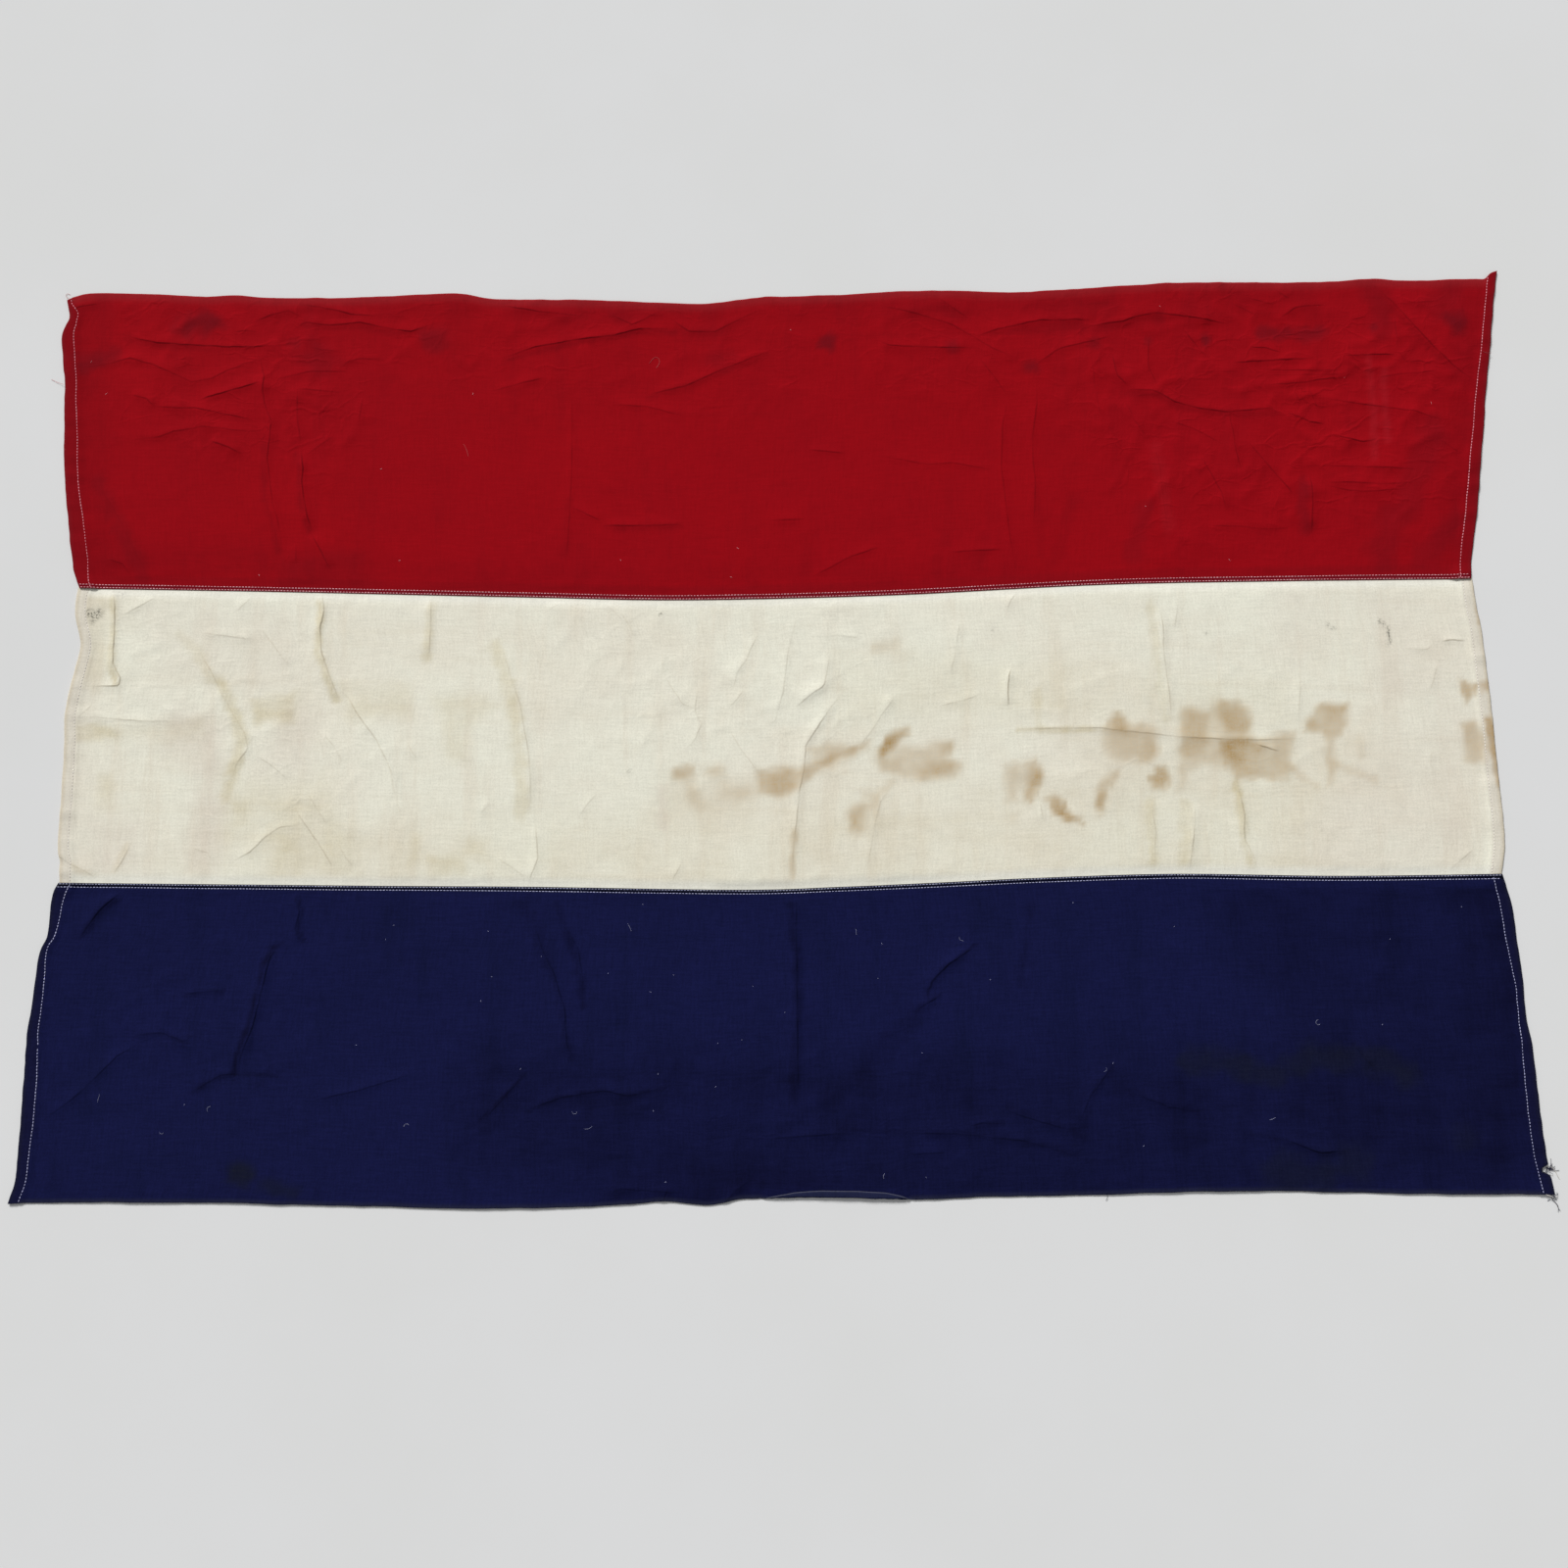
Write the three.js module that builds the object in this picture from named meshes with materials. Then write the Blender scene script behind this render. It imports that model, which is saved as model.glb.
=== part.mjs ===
// A worn cotton flag of three sewn stripes, spread out flat on the surface that it lies on.
//
// Units are millimetres. +X runs along the stripes, +Y points from the blue stripe to the red one and +Z up.
// The origin is the middle of the flag's outline, on the surface.
//
// Each stripe is one sheet of cloth. The coloured stripes' inner edges are felled over the white stripe, and the
// short ends have a narrow turned hem, where the cloth is two layers thick. The long outer edges are selvedges.

import * as THREE from 'three';

const clothThickness = 1;
const hemWidth = 12;
const hemExtraThickness = 1;
const hemStep = 4;
const seamOverlap = 6;
const seamRamp = 14;
const clearance = 0.3;
const stripeLength = 1480;
const stripeWidth = 312;
const columnCount = 46;
const rowCount = 11;
const foldFadeAtSeam = 28;

const red = 0x8c0f18;
const cream = 0xe1dcce;
const navy = 0x14163e;

// The long edges run from the left end to the right end, the short ones from the blue side to the red side.
const redSeam = [
  [-722, 141], [-533, 138], [-265, 132], [-100, 129], [110, 134], [326, 145], [520, 149], [709, 151],
];
const blueSeam = [
  [-726, -161], [-411, -164], [-253, -165], [-42, -168], [62, -165], [154, -161], [260, -156], [397, -152],
  [562, -154], [725, -152],
];

const redOutline = {
  lower: redSeam,
  upper: [
    [-749, 450], [-724, 457], [-656, 456], [-528, 452], [-346, 457], [-217, 450], [-75, 446], [23, 454],
    [154, 460], [251, 459], [402, 468], [573, 470], [722, 473], [740, 473], [752, 481],
  ],
  left: [[-722, 141], [-734, 200], [-743, 273], [-747, 357], [-753, 403], [-745, 431], [-749, 450]],
  right: [[709, 151], [720, 222], [726, 273], [732, 318], [736, 357], [743, 425], [752, 481]],
};

// The white stripe reaches under both coloured ones by the overlap.
const whiteOutline = {
  lower: shifted(blueSeam, -seamOverlap),
  upper: shifted(redSeam, seamOverlap),
  left: [
    [-726, -167], [-729, -128], [-728, -58], [-729, 9], [-721, 58], [-717, 84], [-723, 110], [-722, 147],
  ],
  right: [[725, -158], [730, -119], [728, -72], [724, -4], [718, 90], [713, 125], [709, 157]],
};

const blueOutline = {
  lower: [
    [-760, -476], [-670, -475], [-522, -476], [-311, -481], [-196, -479], [-118, -474], [-69, -477],
    [-17, -471], [131, -472], [216, -469], [388, -465], [492, -464], [678, -467], [760, -467],
  ],
  upper: blueSeam,
  left: [
    [-760, -476], [-753, -441], [-751, -363], [-750, -314], [-745, -250], [-735, -213], [-733, -182],
    [-726, -161],
  ],
  right: [
    [760, -467], [757, -437], [752, -391], [748, -328], [741, -262], [736, -209], [733, -181], [725, -152],
  ],
};

// The main folds: soft ridges along a line, each with its height and the reach of its slope to either side.
const redFolds = [
  fold(3.5, 26, [-687, 414], [-612, 401], [-521, 401]),
  fold(4.5, 30, [-505, 354], [-498, 283], [-491, 216], [-464, 175]),
  fold(3.5, 26, [-489, 427], [-414, 421], [-362, 425]),
  fold(3, 26, [-292, 387], [-216, 407], [-113, 419]),
  fold(3, 26, [-138, 348], [-64, 374], [-15, 394]),
  fold(3, 28, [-219, 345], [-219, 231], [-222, 180]),
  fold(4.5, 28, [203, 411], [272, 429], [368, 436], [508, 423]),
  fold(5.5, 30, [346, 391], [361, 357], [431, 336], [524, 335]),
  fold(3.5, 26, [468, 384], [562, 387], [639, 393]),
  fold(4.5, 28, [629, 469], [660, 437], [723, 362]),
  fold(3.5, 26, [548, 261], [532, 219], [527, 205]),
];
const whiteFolds = [
  fold(3, 26, [-684, 100], [-683, 63], [-676, 40]),
  fold(3.5, 26, [-607, 92], [-562, 16], [-542, -25]),
  fold(3, 26, [-471, 100], [-471, 76], [-451, 25]),
  fold(3, 26, [-441, 32], [-404, -20], [-387, -91]),
  fold(4.5, 28, [-288, 84], [-269, -4], [-256, -86], [-250, -140]),
  fold(3.5, 26, [56, 22], [18, -71], [13, -140]),
  fold(4, 26, [237, -7], [381, -8], [533, -14]),
];
const blueFolds = [
  fold(4, 26, [-505, -226], [-526, -304], [-538, -347]),
  fold(3.5, 26, [-252, -191], [-216, -290], [-204, -339]),
  fold(3.5, 26, [-254, -385], [-176, -366], [-117, -364]),
  fold(3, 26, [14, -190], [16, -290], [16, -374]),
  fold(3.5, 26, [192, -225], [150, -258], [146, -269]),
  fold(3, 26, [108, -407], [242, -415], [286, -428]),
  fold(6, 30, [-30, -478], [50, -474], [140, -478]),
];

function shifted(points, distance) {
  return points.map(([x, y]) => [x, y + distance]);
}

function fold(height, reach, ...points) {
  return { height, reach, points: points.map(([x, y]) => new THREE.Vector2(x, y)) };
}

function distanceToSegment(point, start, end) {
  const along = end.clone().sub(start);
  const position = THREE.MathUtils.clamp(point.clone().sub(start).dot(along) / along.lengthSq(), 0, 1);
  return point.distanceTo(start.clone().addScaledVector(along, position));
}

function foldHeight(point, folds) {
  let highest = 0;
  for (const { height, reach, points } of folds) {
    let distance = Infinity;
    for (let i = 0; i + 1 < points.length; i += 1) {
      distance = Math.min(distance, distanceToSegment(point, points[i], points[i + 1]));
    }
    const slope = 1 - THREE.MathUtils.smoothstep(distance, 0, reach);
    highest = Math.max(highest, height * slope);
  }
  return highest;
}

function splineThrough(points) {
  return new THREE.SplineCurve(points.map(([x, y]) => new THREE.Vector2(x, y)));
}

// The point of a sheet that fills the space between its four edges.
function sheetPoint(edges, u, v) {
  const { lower, upper, left, right } = edges;
  const blend = (first, second, share) => first.clone().lerp(second, share);
  const between = blend(lower.getPointAt(u), upper.getPointAt(u), v);
  const across = blend(left.getPointAt(v), right.getPointAt(v), u);
  const bottomChord = blend(lower.getPointAt(0), lower.getPointAt(1), u);
  const topChord = blend(upper.getPointAt(0), upper.getPointAt(1), u);
  return between.add(across).sub(blend(bottomChord, topChord, v));
}

// Shares of the way across a sheet: lines close to each end that has a hem or seam, evenly spaced lines between.
function stations(length, count, nearStart, nearEnd) {
  const first = nearStart.length ? nearStart[nearStart.length - 1] : 0;
  const last = length - (nearEnd.length ? nearEnd[nearEnd.length - 1] : 0);
  const even = Array.from({ length: count + 1 }, (_, i) => first + ((last - first) * i) / count);
  const start = nearStart.slice(0, -1);
  const end = nearEnd.slice(0, -1).reverse().map((distance) => length - distance);
  return [...start, ...even, ...end].map((distance) => distance / length);
}

// How high a coloured stripe's underside lies: on the white stripe along the seam, on the surface elsewhere.
function restOnWhite(toSeam, toEnd) {
  const overHem = hemWidth + hemStep;
  const hemRise = hemExtraThickness * (1 - THREE.MathUtils.smoothstep(toEnd, overHem, 2 * overHem));
  const ramp = 1 - THREE.MathUtils.smoothstep(toSeam, seamOverlap + 1, seamOverlap + 1 + seamRamp);
  return (clothThickness + clearance + hemRise) * ramp;
}

// A closed sheet: an upper and a lower skin on the same grid, joined by a wall around the rim.
function stripeGeometry({ outline, folds, seamBelow, seamAbove, lapped }) {
  const edges = {
    lower: splineThrough(outline.lower),
    upper: splineThrough(outline.upper),
    left: splineThrough(outline.left),
    right: splineThrough(outline.right),
  };
  const hemLines = [0, hemWidth, hemWidth + hemStep, 2 * (hemWidth + hemStep)];
  const seamLines = [0, seamOverlap + 1, seamOverlap + 1 + seamRamp];
  const columns = stations(stripeLength, columnCount, hemLines, hemLines);
  const rows = stations(stripeWidth, rowCount, seamBelow ? seamLines : [], seamAbove ? seamLines : []);

  const undersides = [];
  const topsides = [];
  for (const v of rows) {
    for (const u of columns) {
      const toEnd = Math.min(u, 1 - u) * stripeLength;
      const toLowerSeam = seamBelow ? v * stripeWidth : Infinity;
      const toUpperSeam = seamAbove ? (1 - v) * stripeWidth : Infinity;
      const toSeam = Math.min(toLowerSeam, toUpperSeam);
      const point = sheetPoint(edges, u, v);
      const fade = THREE.MathUtils.smoothstep(toSeam, seamOverlap + 2, seamOverlap + foldFadeAtSeam);
      const underside = foldHeight(point, folds) * fade + (lapped ? restOnWhite(toSeam, toEnd) : 0);
      const hem = hemExtraThickness * (1 - THREE.MathUtils.smoothstep(toEnd, hemWidth, hemWidth + hemStep));
      undersides.push(point.x, point.y, underside);
      topsides.push(point.x, point.y, underside + clothThickness + hem);
    }
  }

  const wide = columns.length;
  const high = rows.length;
  const topStart = wide * high;
  const triangles = [];
  const quad = (a, b, c, d) => triangles.push(a, b, c, a, c, d);
  for (let row = 0; row + 1 < high; row += 1) {
    for (let column = 0; column + 1 < wide; column += 1) {
      const a = row * wide + column;
      const b = a + 1;
      const c = b + wide;
      const d = a + wide;
      quad(topStart + a, topStart + b, topStart + c, topStart + d);
      quad(a, d, c, b);
    }
  }
  const wall = (from, to) => quad(from, to, topStart + to, topStart + from);
  for (let column = 0; column + 1 < wide; column += 1) {
    const upperRow = (high - 1) * wide;
    wall(column, column + 1);
    wall(upperRow + column + 1, upperRow + column);
  }
  for (let row = 0; row + 1 < high; row += 1) {
    const leftEnd = row * wide;
    const rightEnd = leftEnd + wide - 1;
    wall(rightEnd, rightEnd + wide);
    wall(leftEnd + wide, leftEnd);
  }

  const geometry = new THREE.BufferGeometry();
  geometry.setAttribute('position', new THREE.Float32BufferAttribute([...undersides, ...topsides], 3));
  geometry.setIndex(triangles);
  geometry.computeVertexNormals();
  return geometry;
}

function stripe(name, colour, shape) {
  const material = new THREE.MeshStandardMaterial({ color: colour, roughness: 0.9, metalness: 0 });
  const mesh = new THREE.Mesh(stripeGeometry(shape), material);
  mesh.name = name;
  return mesh;
}

const flag = new THREE.Group();
flag.add(
  stripe('red_stripe', red, { outline: redOutline, folds: redFolds, seamBelow: true, lapped: true }),
  stripe('white_stripe', cream, { outline: whiteOutline, folds: whiteFolds, seamBelow: true, seamAbove: true }),
  stripe('blue_stripe', navy, { outline: blueOutline, folds: blueFolds, seamAbove: true, lapped: true }),
);

export default flag;
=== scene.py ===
"""A worn cotton flag of three sewn stripes, spread out flat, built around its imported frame.

Places in the lists below are in millimetres in the frame's own axes: +X along the stripes, +Y from the blue
stripe to the red one, +Z up from the surface that the flag lies on. Meshes are in metres.
"""

import logging
import math
from dataclasses import dataclass, field
from enum import Enum

import bpy
import numpy as np
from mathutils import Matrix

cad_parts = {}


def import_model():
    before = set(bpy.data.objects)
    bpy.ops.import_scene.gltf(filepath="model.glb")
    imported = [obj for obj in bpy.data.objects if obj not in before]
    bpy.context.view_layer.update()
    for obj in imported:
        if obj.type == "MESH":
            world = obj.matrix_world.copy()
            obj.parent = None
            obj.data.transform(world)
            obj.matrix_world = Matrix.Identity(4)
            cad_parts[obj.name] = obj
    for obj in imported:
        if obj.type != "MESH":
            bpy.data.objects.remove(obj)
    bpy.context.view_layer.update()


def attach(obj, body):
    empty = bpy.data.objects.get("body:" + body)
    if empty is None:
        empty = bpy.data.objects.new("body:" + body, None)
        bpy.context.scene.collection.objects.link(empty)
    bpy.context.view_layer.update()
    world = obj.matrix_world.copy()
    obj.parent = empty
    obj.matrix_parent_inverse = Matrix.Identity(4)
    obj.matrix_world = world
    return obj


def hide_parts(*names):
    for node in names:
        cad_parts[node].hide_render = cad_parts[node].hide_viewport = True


Points = tuple[tuple[float, float], ...]
Path = list[tuple[float, float]]
Socket = bpy.types.NodeSocket

LOG = logging.getLogger("flag")
MM = 0.001
ROOT = "root"

# The cloth's thickness, how much a turned end adds to it, and the width and height of a felled seam's lap.
CLOTH = 0.32
HEM_HEIGHT = 0.95
LAP = 6.0
LAP_HEIGHT = 0.55
# How far a felled seam's rows of stitches are from the lap's folded edge, and how wide a row's dent is on
# either side, in a seam and in a hem.
SEAM_ROWS = (1.3, 4.7)
SEAM_DENT = 0.5
HEM_DENT = 1.1
WEAVE_PITCH = 0.55 * MM
# The way to which creases slope gently, how far their sharp crests reach to either side in metres, and how
# far apart two creases are where one layer of the finish holds both.
GENTLE_SIDE = (-0.35, 0.94)
GENTLE_REACH = 6.0 * MM
STEEP_REACH = 1.6 * MM
CREASE_GAP = 26.0


# ------------------------------------------------------------------------------
# Small numeric helpers


def smooth(low: float, high: float, value: np.ndarray) -> np.ndarray:
    """Rise smoothly from 0 at low to 1 at high, or fall where high is below low."""
    share = np.clip((value - low) / (high - low), 0, 1)
    return share * share * (3 - 2 * share)


def grid_noise(x: np.ndarray, y: np.ndarray, cell: float, seed: int) -> np.ndarray:
    """Smooth random heights on a square grid, the same on each run.

    Args:
        x: Places along the first axis, in millimetres.
        y: Places along the second axis.
        cell: The grid's pitch.
        seed: Picks one pattern out of many.

    Returns:
        Numbers from -1 to 1.
    """
    across, along = np.asarray(x) / cell, np.asarray(y) / cell
    column, row = np.floor(across).astype(np.int64), np.floor(along).astype(np.int64)
    fade_x, fade_y = (part ** 3 * (part * (part * 6 - 15) + 10) for part in (across - column, along - row))

    def corner(step_x: int, step_y: int) -> np.ndarray:
        """Scramble one grid corner's place into its random height."""
        mixed = (column + step_x) * 374761393 + (row + step_y) * 668265263 + seed * 974634777
        mixed = ((mixed ^ (mixed >> 13)) & 0xFFFFFFFF) * 1274126177 & 0xFFFFFFFF
        return ((mixed ^ (mixed >> 16)) & 0xFFFF) / 32767.5 - 1

    near = corner(0, 0) * (1 - fade_x) + corner(1, 0) * fade_x
    far = corner(0, 1) * (1 - fade_x) + corner(1, 1) * fade_x
    return near * (1 - fade_y) + far * fade_y


def layered_noise(x: np.ndarray, y: np.ndarray, cell: float, seed: int, layers: int = 3) -> np.ndarray:
    """Grid noise with finer and weaker layers added.

    Args:
        x: Places along the first axis, in millimetres.
        y: Places along the second axis.
        cell: The coarsest layer's pitch.
        seed: Picks the pattern.
        layers: How many layers to add, each at half the pitch and strength of the one before.

    Returns:
        Numbers that mostly lie between -1 and 1.
    """
    total, weight = np.zeros(np.broadcast(x, y).shape), 0.0
    for layer in range(layers):
        share = 0.5 ** layer
        turned_x, turned_y = x * 0.87 + y * 0.49, y * 0.87 - x * 0.49
        x, y = turned_x, turned_y
        total = total + share * grid_noise(x, y, cell * share, seed + layer)
        weight += share
    return total / weight


@dataclass(frozen=True)
class Line:
    """A line through a few given points, in millimetres."""

    points: Points

    def nearest(self, x: np.ndarray, y: np.ndarray) -> tuple[np.ndarray, np.ndarray]:
        """Find how far places are from the line.

        Args:
            x: Places along X.
            y: Places along Y.

        Returns:
            The distance, positive to the left of the line's direction, and how far along the line the
            nearest point is, from 0 to 1.
        """
        nodes = np.array(self.points, float)
        if len(nodes) == 1:
            return np.hypot(x - nodes[0, 0], y - nodes[0, 1]), np.full(np.shape(x), 0.5)
        steps = np.diff(nodes, axis=0)
        lengths = np.hypot(steps[:, 0], steps[:, 1])
        best, side = np.full(np.shape(x), np.inf), np.ones(np.shape(x))
        along, passed = np.zeros(np.shape(x)), 0.0
        for start, step, length in zip(nodes, steps, lengths):
            dx, dy = x - start[0], y - start[1]
            share = np.clip((dx * step[0] + dy * step[1]) / length ** 2, 0, 1)
            distance = np.hypot(dx - share * step[0], dy - share * step[1])
            closer = distance < best
            best = np.where(closer, distance, best)
            side = np.where(closer, np.sign(step[0] * dy - step[1] * dx + 1e-9), side)
            along = np.where(closer, (passed + share * length) / lengths.sum(), along)
            passed += length
        return best * side, along

    def gap_to(self, other: "Line") -> float:
        """Roughly the shortest way to another line, in millimetres."""
        here, there = np.array(self.points, float), np.array(other.points, float)
        first = np.abs(other.nearest(here[:, 0], here[:, 1])[0]).min()
        return float(min(first, np.abs(self.nearest(there[:, 0], there[:, 1])[0]).min()))


@dataclass(frozen=True)
class Outline:
    """A closed outline through a few given points, in millimetres."""

    points: Points

    def outside(self, x: np.ndarray, y: np.ndarray) -> np.ndarray:
        """Find how far places are outside the outline.

        Args:
            x: Places along X.
            y: Places along Y.

        Returns:
            The distance from the outline, negative inside it.
        """
        distance = np.abs(Line(self.points + self.points[:1]).nearest(x, y)[0])
        inside = np.zeros(np.shape(x), bool)
        for (x0, y0), (x1, y1) in zip(self.points, self.points[1:] + self.points[:1]):
            if y0 != y1:
                crossed = (y0 > y) != (y1 > y)
                inside ^= crossed & (x < (x1 - x0) * (y - y0) / (y1 - y0) + x0)
        return np.where(inside, -distance, distance)


@dataclass
class Edge:
    """One edge of a stripe: a smooth curve through its points, measured by its own length."""

    points: Points
    samples: int = 24
    places: np.ndarray = field(init=False)
    shares: np.ndarray = field(init=False)

    def __post_init__(self) -> None:
        """Sample the smooth curve through the points."""
        nodes = np.array(self.points, float)
        padded = np.vstack([nodes[:1], nodes, nodes[-1:]])
        pieces = []
        t = np.linspace(0, 1, self.samples, endpoint=False)[:, None]
        for a, b, c, d in zip(padded, padded[1:], padded[2:], padded[3:]):
            first, last = (c - a) / 2, (d - b) / 2
            pieces.append(b + first * t + (3 * (c - b) - 2 * first - last) * t ** 2
                          + (2 * (b - c) + first + last) * t ** 3)
        self.places = np.vstack([*pieces, nodes[-1:]])
        travelled = np.concatenate([[0], np.cumsum(np.hypot(*np.diff(self.places, axis=0).T))])
        self.shares = travelled / travelled[-1]

    def at(self, share: np.ndarray) -> np.ndarray:
        """One row of X and Y for each share of the curve's length, from 0 to 1."""
        return np.stack([np.interp(share, self.shares, self.places[:, axis]) for axis in (0, 1)], axis=-1)


# ------------------------------------------------------------------------------
# Node trees


class Value:
    """A number that varies over a surface, which can be used in Python arithmetic."""

    def __init__(self, graph: "Graph", socket: Socket) -> None:
        """Wrap an output socket of the graph."""
        self.graph, self.socket = graph, socket

    def maths(
        self, operation: str, *others: "Value | float", first: "Value | float | None" = None
    ) -> "Value":
        """Add one Math node.

        Args:
            operation: The Math node's operation.
            others: The other operands.
            first: The first operand, where it isn't this value.

        Returns:
            The node's result.
        """
        operands = ((self,) if first is None else (first, self)) + others
        node = self.graph.node("ShaderNodeMath", {"operation": operation}, dict(enumerate(operands)))
        return Value(self.graph, node.outputs[0])

    def __add__(self, other: "Value | float") -> "Value":
        """Sum."""
        return self.maths("ADD", other)

    __radd__ = __add__

    def __sub__(self, other: "Value | float") -> "Value":
        """Difference."""
        return self.maths("SUBTRACT", other)

    def __rsub__(self, other: float) -> "Value":
        """Difference from a number."""
        return self.maths("SUBTRACT", first=other)

    def __mul__(self, other: "Value | float") -> "Value":
        """Product."""
        return self.maths("MULTIPLY", other)

    __rmul__ = __mul__

    def __truediv__(self, other: "Value | float") -> "Value":
        """Quotient."""
        return self.maths("DIVIDE", other)

    def __pow__(self, power: float) -> "Value":
        """Power of a value that isn't negative."""
        return self.maths("POWER", power)

    def __abs__(self) -> "Value":
        """Size without the sign."""
        return self.maths("ABSOLUTE")

    def at_least(self, low: "Value | float") -> "Value":
        """The larger of two numbers."""
        return self.maths("MAXIMUM", low)

    def at_most(self, high: "Value | float") -> "Value":
        """The smaller of two numbers."""
        return self.maths("MINIMUM", high)

    def sine(self) -> "Value":
        """The sine of an angle in radians."""
        return self.maths("SINE")

    def rise(self, low: float, high: float) -> "Value":
        """A smooth step from 0 at low to 1 at high, or a fall where high is below low."""
        ends = (low, high, 0.0, 1.0) if low < high else (high, low, 1.0, 0.0)
        node = self.graph.node(
            "ShaderNodeMapRange", {"interpolation_type": "SMOOTHSTEP"}, dict(enumerate((self, *ends)))
        )
        return Value(self.graph, node.outputs[0])


class Graph:
    """The node tree of one material."""

    def __init__(self, name: str) -> None:
        """Start an empty material of that name."""
        self.material = bpy.data.materials.new(name)
        self.material.use_nodes = True
        self.tree = self.material.node_tree
        self.tree.nodes.clear()

    def node(self, kind: str, settings: dict | None = None, inputs: dict | None = None) -> bpy.types.Node:
        """Add a node, set it up and feed its sockets.

        Args:
            kind: The node's type.
            settings: Its own settings, such as an operation, which are made first.
            inputs: Socket names or numbers with the number, colour, Value or socket that each gets.

        Returns:
            The new node.
        """
        made = self.tree.nodes.new(kind)
        for key, value in (settings or {}).items():
            setattr(made, key, value)
        for key, value in (inputs or {}).items():
            if isinstance(value, Value):
                value = value.socket
            if isinstance(value, Socket):
                self.tree.links.new(value, made.inputs[key])
            else:
                made.inputs[key].default_value = value
        return made

    def attribute(self, name: str) -> Value:
        """A number stored on the mesh's points."""
        return Value(self, self.node("ShaderNodeAttribute", {"attribute_name": name}).outputs["Fac"])

    def scaled(self, vector: Socket, scale: tuple[float, float, float]) -> Socket:
        """Stretch coordinates by three factors."""
        return self.node("ShaderNodeMapping", inputs={"Vector": vector, "Scale": scale}).outputs[0]

    def noise(self, vector: Socket, scale: float, detail: float = 2.0, rough: float = 0.5) -> Value:
        """Soft random numbers from 0 to 1.

        Args:
            vector: The coordinates that the pattern follows.
            scale: How many lumps go to one unit.
            detail: How many finer layers are added.
            rough: How strong each finer layer is.

        Returns:
            The pattern.
        """
        made = self.node(
            "ShaderNodeTexNoise",
            inputs={"Vector": vector, "Scale": scale, "Detail": detail, "Roughness": rough},
        )
        return Value(self, made.outputs["Fac"])

    def mix(self, share: Value | float, first: object, second: object) -> Socket:
        """Blend two colours.

        Args:
            share: How much of the second colour shows.
            first: A colour or a colour socket.
            second: A colour or a colour socket.

        Returns:
            The blended colour.
        """
        made = self.node(
            "ShaderNodeMix",
            {"data_type": "RGBA", "clamp_factor": True},
            {0: share, 6: first, 7: second},
        )
        return made.outputs[2]

    def finish(self, colour: object, constants: dict, height: Value | None = None) -> bpy.types.Material:
        """Close the tree with a Principled shader.

        Args:
            colour: The base colour or its socket.
            constants: The shader's other sockets, which may hold one varying roughness.
            height: The surface's relief in metres, where it has one.

        Returns:
            The finished material.
        """
        inputs = {"Base Color": colour, **constants}
        if height is not None:
            bump = self.node("ShaderNodeBump", inputs={"Strength": 1.0, "Distance": 1.0, "Height": height})
            inputs["Normal"] = bump.outputs[0]
        shader = self.node("ShaderNodeBsdfPrincipled", inputs=inputs)
        self.node("ShaderNodeOutputMaterial", inputs={"Surface": shader.outputs[0]})
        return self.material


# ------------------------------------------------------------------------------
# Finishes

Colour = tuple[float, float, float, float]


def linear(red: int, green: int, blue: int) -> Colour:
    """A colour as a shader takes it.

    Args:
        red: The display colour's red, from 0 to 255.
        green: Its green.
        blue: Its blue.

    Returns:
        The linear colour with full alpha.
    """
    def one(level: int) -> float:
        """One channel, by the display curve."""
        share = level / 255
        return share / 12.92 if share <= 0.04045 else ((share + 0.055) / 1.055) ** 2.4

    return (one(red), one(green), one(blue), 1.0)


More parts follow.
